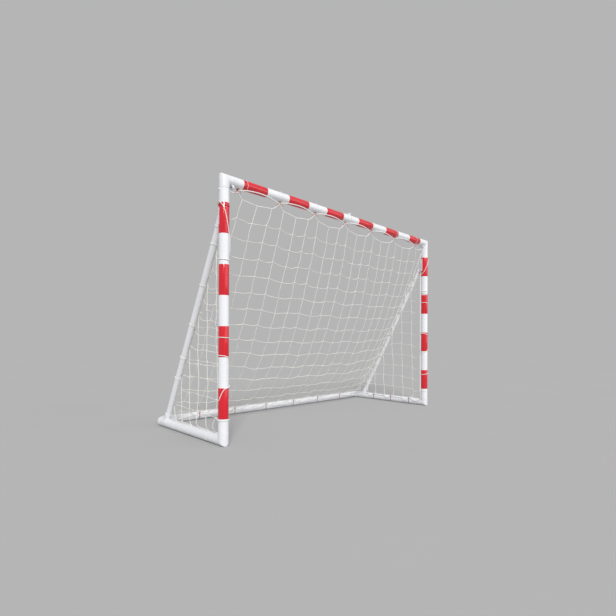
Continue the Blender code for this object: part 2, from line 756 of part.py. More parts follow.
def side_frame(prefix, side, body):
    """Build one rigid side frame: post, side bar, strut, corners, sockets, bands and side net."""
    centre = side * POST_X * X
    top = centre + Vector((0, POST_Y, BAR_Z))
    foot = centre + Vector((0, POST_Y, BASE_Z))
    back = centre + Vector((0, BACK_Y, BASE_Z))
    inward = -side * X
    joint = CORNER_REACH + SEAT_GAP

    bands = []
    band_top = POST_TOP_WHITE - TUBE_RADIUS - joint
    while band_top + BAND_LENGTH < BAR_Z - joint - POST_FOOT_WHITE:
        bands.append((band_top, band_top + BAND_LENGTH))
        band_top += 2 * BAND_LENGTH
    post = banded_tube(top - joint * Z, foot + joint * Z, bands)
    add_piece(prefix + "_post", post, body, WHITE_PLASTIC, RED_FILM)
    side_bar = banded_tube(foot + joint * Y, back - joint * Y, [])
    add_piece(prefix + "_side_bar", side_bar, body, WHITE_PLASTIC)

    top_hinge = hinge_frame(top + CORNER_REACH * inward - PIN_OFFSET * Z, -inward, -Z)
    corner = add_knuckles(elbow(top, -Z, inward, False, False), top_hinge, False)
    add_piece(prefix + "_top_corner", corner, body, WHITE_PLASTIC)
    add_piece(prefix + "_foot_corner", elbow(foot, Z, Y, False, True), body, WHITE_PLASTIC)
    back_hinge = hinge_frame(back + CORNER_REACH * inward - PIN_OFFSET * Y, -inward, -Y)
    corner = add_knuckles(elbow(back, -Y, inward, True, False), back_hinge, False)
    add_piece(prefix + "_back_corner", corner, body, WHITE_PLASTIC)
    add_piece(prefix + "_top_hinge_pin", hinge_pin(top_hinge.translation, Y), body, ZINC_STEEL)
    add_piece(prefix + "_back_hinge_pin", hinge_pin(back_hinge.translation, -Z), body, ZINC_STEEL)

    strut_top = centre + STRUT_TOP
    strut_foot = centre + STRUT_FOOT
    slope = (strut_foot - strut_top).normalized()
    post_seat = SEAT_RADIUS
    base_seat = TUBE_RADIUS + SEAT_GAP
    upper = strut_top + strut_seat(abs(slope.z), slope.y, post_seat) * slope
    lower = strut_foot - strut_seat(slope.y, abs(slope.z), base_seat) * slope
    bm = bmesh.new()
    hollow_tube(bm, upper, lower, STRUT_RADIUS, STRUT_RADIUS - STRUT_WALL, STRUT_SIDES)
    add_piece(prefix + "_strut", bm, body, WHITE_PLASTIC)
    socket = strut_socket(strut_top, slope, -Z, Y, post_seat)
    add_piece(prefix + "_strut_top_socket", socket, body, WHITE_PLASTIC)
    socket = strut_socket(strut_foot, -slope, -Y, Z, base_seat)
    add_piece(prefix + "_strut_foot_socket", socket, body, WHITE_PLASTIC)

    for index, place in enumerate(side_clip_positions()):
        clip = snap_clip(foot + (place - POST_Y) * Y, Y, inward)
        add_piece(f"{prefix}_side_bar_clip_{index + 1}", clip, body, RED_TIE)
    add_piece(prefix + "_side_net", side_net(side), body, NET_TWINE)


def folding_bar(prefix, side, body, axis, pin_side, bands, finishes):
    """Build one half of a folding bar: its tube and its two moulded ends.

    axis is a point on the bar's axis at mid-span, and bands are measured from there.
    """
    outward = side * X
    fold = axis + FOLD_X * outward
    inset = END_COLLAR + SEAT_GAP
    start = axis + inset * outward
    tube = banded_tube(start, fold - inset * outward, [(low - inset, high - inset) for low, high in bands])
    add_piece(prefix + "_tube", tube, body, *finishes)
    outer_frame = hinge_frame(fold + PIN_OFFSET * pin_side, -outward, pin_side)
    add_piece(prefix + "_outer_end", bar_end(outer_frame, True), body, WHITE_PLASTIC)
    inner_frame = hinge_frame(axis - PIN_OFFSET * pin_side, outward, -pin_side)
    add_piece(prefix + "_inner_end", bar_end(inner_frame, side > 0), body, WHITE_PLASTIC)


def crossbar_half(prefix, side, body):
    """Build one half of the crossbar, with its red bands and the ties that hang the net."""
    bands = []
    low = BAND_LENGTH / 2
    while low + BAND_LENGTH < FOLD_X - END_COLLAR:
        bands.append((low, low + BAND_LENGTH))
        low += 2 * BAND_LENGTH
    axis = Vector((0, POST_Y, BAR_Z))
    folding_bar(prefix, side, body, axis, -Z, bands, (WHITE_PLASTIC, RED_FILM))
    places = sorted(abs(place) for place in tie_positions() if place * side > 0)
    for index, place in enumerate(places):
        add_piece(f"{prefix}_tie_{index + 1}", tie_loop(side * place), body, RED_TIE)


def back_bar_half(prefix, side, body):
    """Build one half of the back bar, with the snap clips that hold the net's lower edge."""
    axis = Vector((0, BACK_Y, BASE_Z))
    folding_bar(prefix, side, body, axis, -Y, [], (WHITE_PLASTIC,))
    places = sorted(abs(place) for place in back_clip_positions() if place * side > 0)
    for index, place in enumerate(places):
        clip = snap_clip(axis + side * place * X, X, -Y)
        add_piece(f"{prefix}_clip_{index + 1}", clip, body, RED_TIE)


def main():
    """Build the goal, body by body, from the left side frame outwards."""
    clear_scene()
    top_pin_z = BAR_Z - PIN_OFFSET
    front_pin_y = BACK_Y - PIN_OFFSET
    left = pivot("left_frame_body", Vector((0, 0, 0)))
    bar_left = pivot("crossbar_left_body", Vector((-FOLD_X, POST_Y, top_pin_z)), left)
    bar_right = pivot("crossbar_right_body", Vector((0, POST_Y, BAR_Z + PIN_OFFSET)), bar_left)
    right = pivot("right_frame_body", Vector((FOLD_X, POST_Y, top_pin_z)), bar_right)
    back_left = pivot("back_bar_left_body", Vector((-FOLD_X, front_pin_y, BASE_Z)), left)
    back_right = pivot("back_bar_right_body", Vector((0, BACK_Y + PIN_OFFSET, BASE_Z)), back_left)

    side_frame("left", -1, left)
    side_frame("right", 1, right)
    crossbar_half("crossbar_left", -1, bar_left)
    crossbar_half("crossbar_right", 1, bar_right)
    back_bar_half("back_bar_left", -1, back_left)
    back_bar_half("back_bar_right", 1, back_right)
    middle_top = bar_right.matrix_world.translation
    middle_back = back_right.matrix_world.translation
    add_piece("crossbar_middle_hinge_pin", hinge_pin(middle_top, Y), bar_left, ZINC_STEEL)
    add_piece("back_bar_middle_hinge_pin", hinge_pin(middle_back, -Z), back_left, ZINC_STEEL)
    add_piece("back_net", back_net(), left, NET_TWINE)


main()
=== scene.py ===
"""Folding handball goal: the looks of every piece, built round the goal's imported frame.

Metres, +X along the crossbar, +Y towards the back, +Z up, the frame's own origin. Tubes, mouldings,
pins, clips and ties are rebuilt round and smooth where the frame holds them faceted. The nets are
let hang by their own weight, and are then drawn strand by strand with a knot at each crossing.
"""

import json
import logging
import math
from dataclasses import dataclass, field
from enum import Enum

import bpy
import numpy as np
from mathutils import Matrix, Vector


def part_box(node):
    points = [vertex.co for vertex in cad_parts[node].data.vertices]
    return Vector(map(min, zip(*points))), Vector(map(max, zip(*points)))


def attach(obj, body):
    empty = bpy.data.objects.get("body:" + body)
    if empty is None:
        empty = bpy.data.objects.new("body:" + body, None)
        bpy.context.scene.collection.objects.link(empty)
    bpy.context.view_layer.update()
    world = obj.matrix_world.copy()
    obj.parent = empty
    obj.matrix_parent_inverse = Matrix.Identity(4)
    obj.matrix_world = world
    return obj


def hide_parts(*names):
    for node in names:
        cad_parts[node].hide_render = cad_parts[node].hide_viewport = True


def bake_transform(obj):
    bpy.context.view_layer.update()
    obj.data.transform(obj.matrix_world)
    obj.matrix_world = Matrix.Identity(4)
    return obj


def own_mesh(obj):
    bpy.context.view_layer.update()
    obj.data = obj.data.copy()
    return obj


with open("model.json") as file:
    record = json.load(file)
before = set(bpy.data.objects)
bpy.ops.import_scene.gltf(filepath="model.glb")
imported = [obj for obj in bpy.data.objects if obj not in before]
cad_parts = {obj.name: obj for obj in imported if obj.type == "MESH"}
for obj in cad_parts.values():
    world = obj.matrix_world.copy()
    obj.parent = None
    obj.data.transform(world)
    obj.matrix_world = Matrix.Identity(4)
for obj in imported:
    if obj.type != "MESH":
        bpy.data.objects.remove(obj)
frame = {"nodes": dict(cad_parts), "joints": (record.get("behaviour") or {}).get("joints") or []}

LOG = logging.getLogger("handball_goal")
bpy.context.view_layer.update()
X = np.array([1.0, 0.0, 0.0])
Y = np.array([0.0, 1.0, 0.0])
Z = np.array([0.0, 0.0, 1.0])


# Sizes read from the frame


def unit(vectors: np.ndarray) -> np.ndarray:
    """Vectors divided by their lengths, along the last axis."""
    return vectors / np.maximum(np.linalg.norm(vectors, axis=-1, keepdims=True), 1e-12)


def joint_place(name: str) -> np.ndarray:
    """A point on the axis of a joint of the frame, in metres."""
    return next(np.array(joint["pos_m"], float) for joint in frame["joints"] if joint["name"] == name)


def middle_of(node: str) -> np.ndarray:
    """The middle of the box of one of the frame's nodes, in metres."""
    low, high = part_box(node)
    return (np.array(low) + np.array(high)) / 2


@dataclass(frozen=True)
class GoalSizes:
    """The goal's axes and the sections of its tubes and mouldings, in metres."""

    tube_radius: float = 0.0340
    tube_wall: float = 0.0035
    strut_radius: float = 0.0200
    strut_wall: float = 0.0025
    fitting_radius: float = 0.0345
    corner_reach: float = 0.062
    end_collar: float = 0.022
    seam: float = 0.0003
    pin_offset: float = 0.0435
    pin_radius: float = 0.0040
    knuckle_radius: float = 0.0080
    hinge_width: float = 0.040
    middle_knuckle: float = 0.018
    knuckle_gap: float = 0.0005
    lug_length: float = 0.018
    lug_depth: float = 0.0075
    fold_gap: float = 0.0006
    band_length: float = 0.200
    film: float = 0.0003
    strut_top_drop: float = 0.165
    strut_foot_inset: float = 0.117
    tie_drop: float = 0.062
    hook_hold: float = 0.0441
    post_x: float = float(middle_of("right_post")[0])
    post_y: float = float(middle_of("right_post")[1])
    bar_z: float = float(middle_of("crossbar_left_tube")[2])
    back_y: float = float(middle_of("back_bar_left_tube")[1])
    base_z: float = float(middle_of("back_bar_left_tube")[2])
    fold_x: float = float(joint_place("crossbar_right_hinge")[0])

    def strut_line(self, side: int) -> tuple[np.ndarray, np.ndarray]:
        """Where the axis of the strut on a side, -1 or 1, meets the post's axis and the side bar's."""
        start = np.array([side * self.post_x, self.post_y, self.bar_z - self.strut_top_drop])
        return start, np.array([side * self.post_x, self.back_y - self.strut_foot_inset, self.base_z])

    def bar_middle(self) -> np.ndarray:
        """The crossbar's middle, on its axis."""
        return np.array([0.0, self.post_y, self.bar_z])


GOAL = GoalSizes()
SIDE_NAMES = {-1: "left", 1: "right"}
SECTION_ROUNDING = 0.7


# Mesh building


class Shell:
    """Faces gathered from grids of points and written at last as one mesh."""

    def __init__(self) -> None:
        """Start with no points and no faces."""
        self.points: list[np.ndarray] = []
        self.loops: list[np.ndarray] = []
        self.sizes: list[np.ndarray] = []
        self.uvs: list[np.ndarray] = []
        self.count = 0

    def add_points(self, points: np.ndarray) -> int:
        """Add points.

        Args:
            points: an array of any shape whose last axis is x, y and z.

        Returns:
            The index of the first of them.
        """
        first = self.count
        flat = points.reshape(-1, 3)
        self.points.append(flat)
        self.count += len(flat)
        return first

    def add_faces(self, corners: np.ndarray, uvs: np.ndarray) -> None:
        """Add faces that all have as many corners.

        Args:
            corners: the indices of each face's corners, faces by corners.
            uvs: a UV pair for each corner.
        """
        self.loops.append(corners.reshape(-1))
        self.sizes.append(np.full(corners.shape[0], corners.shape[1], int))
        self.uvs.append(uvs.reshape(-1, 2))

    def grid(self, points: np.ndarray, wrap_rows: bool = False, wrap_columns: bool = False,
             along: np.ndarray | None = None) -> np.ndarray:
        """Add one or many grids of quads.

        The quads face out where the columns run counterclockwise about the rows' direction. UV is
        the length along the rows in metres, and the share of the way round the columns.

        Args:
            points: array of grids, rows, columns and 3, or one grid without the first.
            wrap_rows: whether the last row joins the first.
            wrap_columns: whether the last column joins the first.
            along: the length along each grid's rows, or None to measure it.

        Returns:
            The index of each point, in the shape of the grids.
        """
        grids = points[None] if points.ndim == 3 else points
        count, rows, columns = grids.shape[:3]
        index = self.add_points(grids) + np.arange(count * rows * columns).reshape(count, rows, columns)
        if along is None:
            steps = np.linalg.norm(np.diff(grids[:, :, 0], axis=1), axis=-1)
            along = np.concatenate([np.zeros((count, 1)), np.cumsum(steps, axis=1)], axis=1)
        row, column = np.meshgrid(np.arange(rows if wrap_rows else rows - 1),
                                  np.arange(columns if wrap_columns else columns - 1), indexing="ij")
        below, right = (row + 1) % rows, (column + 1) % columns
        corners = np.stack([index[:, row, column], index[:, row, right],
                            index[:, below, right], index[:, below, column]], axis=-1)
        here, there = along[:, row], along[:, below]
        left = np.broadcast_to(column / columns, here.shape)
        over = np.broadcast_to((column + 1) / columns, here.shape)
        uvs = np.stack([np.stack([here, left], -1), np.stack([here, over], -1),
                        np.stack([there, over], -1), np.stack([there, left], -1)], axis=-2)
        self.add_faces(corners.reshape(-1, 4), uvs.reshape(-1, 4, 2))
        return index if points.ndim == 4 else index[0]

    def fan(self, rings: np.ndarray, poles: np.ndarray, outward: bool) -> None:
        """Close rings with a fan of triangles to a pole each.

        Args:
            rings: indices of one ring for each pole, poles by columns.
            poles: the poles' points.
            outward: whether the ring's own order already faces out.
        """
        centres = self.add_points(poles) + np.arange(poles.shape[0])
        after = np.roll(rings, -1, axis=1)
        middle = np.broadcast_to(centres[:, None], rings.shape)
        order = (middle, rings, after) if outward else (middle, after, rings)
        corners = np.stack(order, axis=-1).reshape(-1, 3)
        self.add_faces(corners, np.zeros((corners.shape[0], 3, 2)))

    def make(self, name: str, sharp: float) -> bpy.types.Object:
        """Write the mesh and return its object.

        Args:
            name: the object's name.
            sharp: edges that turn more than this many degrees stay sharp.

        Returns:
            The new object, at the origin.
        """
        mesh = bpy.data.meshes.new(name)
        points = np.concatenate(self.points)
        loops = np.concatenate(self.loops)
        sizes = np.concatenate(self.sizes)
        mesh.vertices.add(len(points))
        mesh.vertices.foreach_set("co", points.astype(np.float32).ravel())
        mesh.loops.add(len(loops))
        mesh.loops.foreach_set("vertex_index", loops.astype(np.int32))
        mesh.polygons.add(len(sizes))
        mesh.polygons.foreach_set("loop_start", (np.cumsum(sizes) - sizes).astype(np.int32))
        mesh.polygons.foreach_set("loop_total", sizes.astype(np.int32))
        layer = mesh.uv_layers.new(name="UVMap")
        layer.data.foreach_set("uv", np.concatenate(self.uvs).astype(np.float32).ravel())
        mesh.update(calc_edges=True)
        mesh.validate()
        mesh.shade_smooth()
        mesh.set_sharp_from_angle(angle=math.radians(sharp))
        piece = bpy.data.objects.new(name, mesh)
        bpy.context.scene.collection.objects.link(piece)
        return piece


def circle(sides: int) -> np.ndarray:
    """Points of a unit circle, counterclockwise: cosine and sine of evenly spaced angles."""
    angles = np.arange(sides) * 2 * math.pi / sides
    return np.stack([np.cos(angles), np.sin(angles)], axis=-1)


def sweep(shell: Shell, paths: np.ndarray, radius: np.ndarray | float, reference: np.ndarray, sides: int,
          section: np.ndarray | None = None, loop: bool = False) -> None:
    """Carry a closed section along one or many paths.

    At each point of a path, the section's first axis is the reference made square to the path, its
    second is the path's direction crossed with that, and both are scaled by the radius.

    Args:
        shell: the shell that takes the faces.
        paths: points of each path, paths by steps by 3, or steps by 3.
        radius: the section's scale, one for all, or for each step.
        reference: a direction that no path runs along.
        sides: how many points a round section has.
        section: another section's points, counterclockwise, or None for a round one.
        loop: whether the paths close on themselves.
    """
    paths = paths[None] if paths.ndim == 2 else paths
    if loop:
        tangent = unit(np.roll(paths, -1, axis=1) - np.roll(paths, 1, axis=1))
    else:
        tangent = unit(np.gradient(paths, axis=1))
    first = unit(reference - np.sum(reference * tangent, axis=-1, keepdims=True) * tangent)
    second = np.cross(tangent, first)
    outline = circle(sides) if section is None else section
    scale = np.broadcast_to(np.asarray(radius, float), paths.shape[:2])[..., None, None]
    rings = outline[:, :1] * first[:, :, None] + outline[:, 1:] * second[:, :, None]
    index = shell.grid(paths[:, :, None] + scale * rings, wrap_rows=loop, wrap_columns=True)
    if not loop:
        shell.fan(index[:, 0], paths[:, 0], outward=False)
        shell.fan(index[:, -1], paths[:, -1], outward=True)


def turn(shell: Shell, origin: np.ndarray, direction: np.ndarray, profile: np.ndarray, sides: int,
         closed: bool = False) -> None:
    """Turn a profile about a line: each (distance, radius) pair becomes a ring.

    Args:
        shell: the shell that takes the faces.
        origin: where the distances start.
        direction: the line's direction, of length 1.
        profile: pairs of the distance along the line and the radius.
        sides: points in a ring.
        closed: whether the profile is a closed loop, as of a tube's wall, in place of one with two ends.
    """
    reference = X if abs(direction @ X) < 0.9 else Z
    first = unit(reference - (reference @ direction) * direction)
    second = np.cross(direction, first)
    spokes = circle(sides) @ np.stack([first, second])
    rings = origin + profile[:, :1, None] * direction + profile[:, 1:, None] * spokes
    index = shell.grid(rings, wrap_rows=closed, wrap_columns=True)
    if not closed:
        centres = origin + profile[[0, -1], :1] * direction
        shell.fan(index[None, 0], centres[:1], outward=False)
        shell.fan(index[None, -1], centres[1:], outward=True)


def prism(shell: Shell, outline: np.ndarray, centre: np.ndarray, first: np.ndarray, second: np.ndarray,
          low: float, high: float, chamfer: float) -> None:
    """Carry a flat outline along its own normal, with chamfered ends and a fan to its centre.

    Args:
        shell: the shell that takes the faces.
        outline: pairs along the first and second axis, counterclockwise, all seen from the centre.
        centre: the outline's own zero.
        first: the outline's first axis.
        second: the outline's second axis.
        low: where the prism starts along the normal.
        high: where it ends.
        chamfer: how much the ends are drawn in and how long that takes.
    """
    normal = np.cross(first, second)
    inner = outline * (1 - chamfer / np.linalg.norm(outline, axis=-1, keepdims=True))
    layers = ((inner, low), (outline, low + chamfer), (outline, high - chamfer), (inner, high))
    rows = np.stack([centre + pair @ np.stack([first, second]) + level * normal for pair, level in layers])
    index = shell.grid(rows, wrap_columns=True)
    shell.fan(index[None, 0], (centre + low * normal)[None], outward=False)
    shell.fan(index[None, -1], (centre + high * normal)[None], outward=True)


def arc(radius: float, start: float, end: float, count: int) -> np.ndarray:
    """Points on an arc about zero: the radius times the cosine and sine of evenly spaced degrees."""
    angles = np.radians(np.linspace(start, end, count))
    return radius * np.stack([np.cos(angles), np.sin(angles)], axis=-1)


def rounded_section(half_width: float, half_thickness: float) -> np.ndarray:
    """A rounded rectangle, wide along its first axis: four corner arcs joined in order.

    Args:
        half_width: half its size along the first axis.
        half_thickness: half its size along the second axis.

    Returns:
        The outline's points as pairs, counterclockwise.
    """
    radius = SECTION_ROUNDING * half_thickness
    reach = half_width - radius
    rise = half_thickness - radius
    corners = ((reach, rise, 0), (-reach, rise, 90), (-reach, -rise, 180), (reach, -rise, 270))
    return np.concatenate([arc(radius, start, start + 90, 4) + (a, b) for a, b, start in corners])


def smooth_path(corners: np.ndarray, steps: int, loop: bool = False) -> np.ndarray:
    """A Catmull-Rom curve through points, which leaves each along the line between its neighbours.

    Args:
        corners: the points.
        steps: how many points the curve has for each of its spans.
        loop: whether the curve closes on itself.

    Returns:
        The curve's points.
    """
    if loop:
        padded = np.concatenate([corners[-1:], corners, corners[:2]])
    else:
        padded = np.concatenate([2 * corners[:1] - corners[1:2], corners, 2 * corners[-1:] - corners[-2:-1]])
    before, here, there, after = (padded[first:len(padded) - 3 + first, None] for first in range(4))
    share = (np.arange(steps) / steps)[None, :, None]
    slope = (there - before) * share
    bend = (2 * before - 5 * here + 4 * there - after) * share**2
    twist = (3 * here - before - 3 * there + after) * share**3
    curve = (0.5 * (2 * here + slope + bend + twist)).reshape(-1, corners.shape[1])
    return curve if loop else np.concatenate([curve, corners[-1:]])


# Materials


class NodeKit:
    """A node tree with short calls for making and joining its nodes."""

    def __init__(self, tree: bpy.types.NodeTree) -> None:
        """Hold the tree and remember how many nodes have been placed."""
        self.tree = tree
        self.placed = 0

    def node(self, kind: str, settings: dict | None = None, **inputs: object) -> bpy.types.Node:
        """Add a node.

        Args:
            kind: the node's type.
            settings: the node's own properties by name.
            inputs: values or sockets for its inputs, named in lower case with _ for spaces.

        Returns:
            The new node.
        """
        made = self.tree.nodes.new(kind)
        made.location = (200 * (self.placed % 8), -220 * (self.placed // 8))
        self.placed += 1
        for name, value in (settings or {}).items():
            setattr(made, name, value)
        self.fill(made, **inputs)
        return made

    def fill(self, node: bpy.types.Node, **inputs: object) -> None:
        """Set or join a node's inputs.

        Args:
            node: the node.
            inputs: values or sockets, named in lower case with _ for spaces.
        """
        for name, value in inputs.items():
            wanted = name.replace("_", " ")
            socket = next(plug for plug in node.inputs if plug.enabled and plug.name.lower() == wanted)
            self.feed(socket, value)

    def feed(self, socket: bpy.types.NodeSocket, value: object) -> None:
        """Join a socket to an input, or set the input's value.

        Args:
            socket: the input.
            value: the socket to join to it, or its new value.
        """
        if isinstance(value, bpy.types.NodeSocket):
            self.tree.links.new(value, socket)
        else:
            socket.default_value = value

    def group(self, name: str, **inputs: object) -> bpy.types.Node:
        """Add a node of one of the shared groups, with values for its inputs, and return it."""
        return self.node("ShaderNodeGroup", {"node_tree": bpy.data.node_groups[name]}, **inputs)

    def math(self, operation: str, *values: object) -> bpy.types.NodeSocket:
        """Add a Math node.

        Args:
            operation: what it does.
            values: up to three values or sockets that it works on.

        Returns:
            Its result.
        """
        made = self.node("ShaderNodeMath", {"operation": operation})
        for socket, value in zip(made.inputs, values):
            self.feed(socket, value)
        return made.outputs[0]

    def noise(self, vector: object, scale: float, detail: float = 3.0,
              roughness: float = 0.5) -> bpy.types.NodeSocket:
        """Add a Noise Texture and return its value."""
        made = self.node("ShaderNodeTexNoise", vector=vector, scale=scale, detail=detail, roughness=roughness)
        return made.outputs["Fac"]

    def spread(self, value: object, low: float, high: float, to_low: float = 0.0,
               to_high: float = 1.0) -> bpy.types.NodeSocket:
        """Map a value from one range to another, held at the ends, and return it."""
        made = self.node("ShaderNodeMapRange", {"clamp": True}, value=value, from_min=low, from_max=high,
                         to_min=to_low, to_max=to_high)
        return made.outputs["Result"]

    def mix(self, factor: object, first: object, second: object) -> bpy.types.NodeSocket:
        """Mix two colours.

        Args:
            factor: the second colour's share.
            first: the first colour.
            second: the second colour.

        Returns:
            The mixed colour.
        """
        made = self.node("ShaderNodeMix", {"data_type": "RGBA"})
        sockets = [plug for plug in made.inputs if plug.enabled]
        for socket, value in zip(sockets, (factor, first, second)):
            self.feed(socket, value)
        return next(plug for plug in made.outputs if plug.enabled)

    def scaled(self, vector: object, scale: tuple[float, float, float]) -> bpy.types.NodeSocket:
        """Multiply a vector along each axis.

        Args:
            vector: the vector's socket.
            scale: what each axis is multiplied by.

        Returns:
            The scaled vector.
        """
        made = self.node("ShaderNodeVectorMath", {"operation": "MULTIPLY"})
        self.feed(made.inputs[0], vector)
        self.feed(made.inputs[1], scale)
        return made.outputs[0]

    def bump(self, height: object, strength: float, distance: float) -> bpy.types.NodeSocket:
        """Turn a height into a normal and return it."""
        made = self.node("ShaderNodeBump", strength=strength, distance=distance, height=height)
        return made.outputs["Normal"]


def new_group(name: str, inputs: dict[str, float], outputs: tuple[str, str]) -> tuple[NodeKit, dict, dict]:
    """Start a shader node group whose inputs and outputs are all single values.

    Args:
        name: the group's name.
        inputs: the inputs and their defaults.
        outputs: the outputs.

    Returns:
        The group's node kit, its input sockets and its output sockets by name.
    """
    tree = bpy.data.node_groups.new(name, "ShaderNodeTree")
    for label, value in inputs.items():
        socket = tree.interface.new_socket(name=label, in_out="INPUT", socket_type="NodeSocketFloat")
        socket.default_value = value
    for label in outputs:
        tree.interface.new_socket(name=label, in_out="OUTPUT", socket_type="NodeSocketFloat")
    kit = NodeKit(tree)
    entry = kit.node("NodeGroupInput")
    end = kit.node("NodeGroupOutput")
    given = {label: entry.outputs[label] for label in inputs}
    return kit, given, {label: end.inputs[label] for label in outputs}


def scuff_group() -> None:
    """Make the group of soft marks of handling: broad patches of noise broken up by fine scratches.

    Mask grows with the wear, up to 1. Height is fine unevenness with the scratches sunk in it.
    """
    kit, given, out = new_group("scuffs", {"Scale": 12.0, "Amount": 0.3}, ("Mask", "Height"))
    place = kit.node("ShaderNodeTexCoord").outputs["Object"]
    broad = kit.noise(place, given["Scale"], detail=4.0, roughness=0.6)
    fine = kit.noise(kit.scaled(place, (90.0, 90.0, 14.0)), 6.0, detail=4.0, roughness=0.7)
    patch = kit.spread(broad, 0.45, 0.75)
    scratch = kit.spread(fine, 0.60, 0.72)
    both = kit.math("ADD", patch, kit.math("MULTIPLY", scratch, 0.6))
    kit.feed(out["Mask"], kit.math("MINIMUM", kit.math("MULTIPLY", both, given["Amount"]), 1.0))
    sunk = kit.math("MULTIPLY", scratch, 0.3)
    kit.feed(out["Height"], kit.math("SUBTRACT", kit.math("MULTIPLY", broad, 0.5), sunk))


def wrinkle_group() -> None:
    """Make the group of film drawn tight along a tube: long low streaks and a few small bubbles.

    Mask is the streaks' crests, where the film's colour is lightened as a painted highlight. It reads UV,
    whose first part is metres along the tube and whose second is the share round it.
    """
    kit, given, out = new_group("film_wrinkles", {"Streaks": 9.0, "Length": 5.0}, ("Height", "Mask"))
    split = kit.node("ShaderNodeSeparateXYZ", vector=kit.node("ShaderNodeUVMap").outputs["UV"])
    angle = kit.math("MULTIPLY", split.outputs["Y"], 2 * math.pi)
    round_x = kit.math("MULTIPLY", kit.math("COSINE", angle), given["Streaks"])
    round_y = kit.math("MULTIPLY", kit.math("SINE", angle), given["Streaks"])
    along = kit.math("MULTIPLY", split.outputs["X"], given["Length"])
    place = kit.node("ShaderNodeCombineXYZ", x=round_x, y=round_y, z=along).outputs[0]
    streak = kit.noise(place, 1.0, roughness=0.55)
    bubble = kit.spread(kit.noise(kit.scaled(place, (3.0, 3.0, 9.0)), 1.3, detail=2.0), 0.66, 0.74)
    kit.feed(out["Height"], kit.math("ADD", streak, kit.math("MULTIPLY", bubble, 0.25)))
    # Mask: the streaks' crests, where the film's red is painted lighter as a highlight
    kit.feed(out["Mask"], kit.spread(streak, 0.35, 0.65))


def twist_group() -> None:
    """Make the group of twisted yarns: bands that run round a cord as they run along it, with fibres.

    The bands follow the sine of the way round plus the way along. Shade is painted shade, dark in
    the grooves between the bands and full on their crests, times a slow random drift. It reads UV,
    whose first part is metres along the cord and whose second is the share round it.
    """
    kit, given, out = new_group("twist", {"Yarns": 3.0, "Pitch": 0.012, "Fuzz": 0.35}, ("Shade", "Height"))
    split = kit.node("ShaderNodeSeparateXYZ", vector=kit.node("ShaderNodeUVMap").outputs["UV"])
    turns = kit.math("ADD", kit.math("DIVIDE", split.outputs["X"], given["Pitch"]), split.outputs["Y"])
    phase = kit.math("MULTIPLY", kit.math("MULTIPLY", turns, given["Yarns"]), 2 * math.pi)
    wave = kit.math("MULTIPLY_ADD", kit.math("SINE", phase), 0.5, 0.5)
    place = kit.node("ShaderNodeTexCoord").outputs["Object"]
    fuzz = kit.math("MULTIPLY", kit.noise(place, 900.0, roughness=0.7), given["Fuzz"])
    drift = kit.spread(kit.noise(place, 7.0, detail=2.0), 0.3, 0.7, 0.86, 1.0)
    mixed = kit.math("ADD", kit.math("MULTIPLY", wave, kit.math("SUBTRACT", 1.0, given["Fuzz"])), fuzz)
    kit.feed(out["Height"], mixed)
    # painted shade: the yarns' colour is darkened in the grooves between them
    painted_yarn_shade = kit.math("ADD", kit.math("MULTIPLY", mixed, 0.55), 0.45)
    kit.feed(out["Shade"], kit.math("MULTIPLY", painted_yarn_shade, drift))


def start_material(name: str) -> tuple[bpy.types.Material, NodeKit, bpy.types.Node]:
    """Make a material.

    Args:
        name: its name.

    Returns:
        The material, its node kit and its Principled shader.
    """
    material = bpy.data.materials.new(name)
    material.use_nodes = True
    return material, NodeKit(material.node_tree), material.node_tree.nodes["Principled BSDF"]


@dataclass(frozen=True)
class Surface:
    """A finish that goes from a first colour and roughness to a last one, as its pattern says."""

    name: str
    first: tuple[float, float, float]
    last: tuple[float, float, float]
    bump: float
    bump_strength: float = 0.25
    roughness: float = 0.85
    last_roughness: float = 0.62
    coat: float = 0.0
    coat_roughness: float = 0.03
    metallic: float = 0.0
    sheen: float = 0.0

    def pattern(self, kit: NodeKit) -> tuple[bpy.types.NodeSocket, ...]:
        """Add the nodes of the last colour's share, the last roughness's share, and the height."""
        raise NotImplementedError

    def build(self) -> bpy.types.Material:
        """Make the material.

        Returns:
            The material.
        """
        material, kit, shader = start_material(self.name)
        tone, wear, height = self.pattern(kit)
        kit.fill(shader, base_color=kit.mix(tone, (*self.first, 1), (*self.last, 1)),
                 roughness=kit.spread(wear, 0.0, 1.0, self.roughness, self.last_roughness),
                 normal=kit.bump(height, self.bump_strength, self.bump), metallic=self.metallic,
                 coat_weight=self.coat, coat_roughness=self.coat_roughness, sheen_weight=self.sheen)
        return material


@dataclass(frozen=True)
class Handled(Surface):
    """Plastic or plated steel, a little greyer and duller where it has been handled."""

    scale: float = 9.0
    amount: float = 0.28
    coat_roughness: float = 0.08

    def pattern(self, kit: NodeKit) -> tuple[bpy.types.NodeSocket, ...]:
        """Add the scuffs: the worn share twice, and their height."""
        scuffs = kit.group("scuffs", scale=self.scale, amount=self.amount)
        return scuffs.outputs["Mask"], scuffs.outputs["Mask"], scuffs.outputs["Height"]


@dataclass(frozen=True)
class Film(Surface):
    """Glossy coloured film with a clear face, drawn tight round a tube."""

    bump_strength: float = 0.55
    coat: float = 0.45
    coat_roughness: float = 0.06

    def pattern(self, kit: NodeKit) -> tuple[bpy.types.NodeSocket, ...]:
        """Add the wrinkles and the scuffs: the crests' share, the worn share and the wrinkles' height.

        The crests' share paints the film lighter along its wrinkles, as a highlight.
        """
        film = kit.group("film_wrinkles", streaks=9.0, length=5.0).outputs
        return film["Mask"], kit.group("scuffs", scale=20.0, amount=0.25).outputs["Mask"], film["Height"]


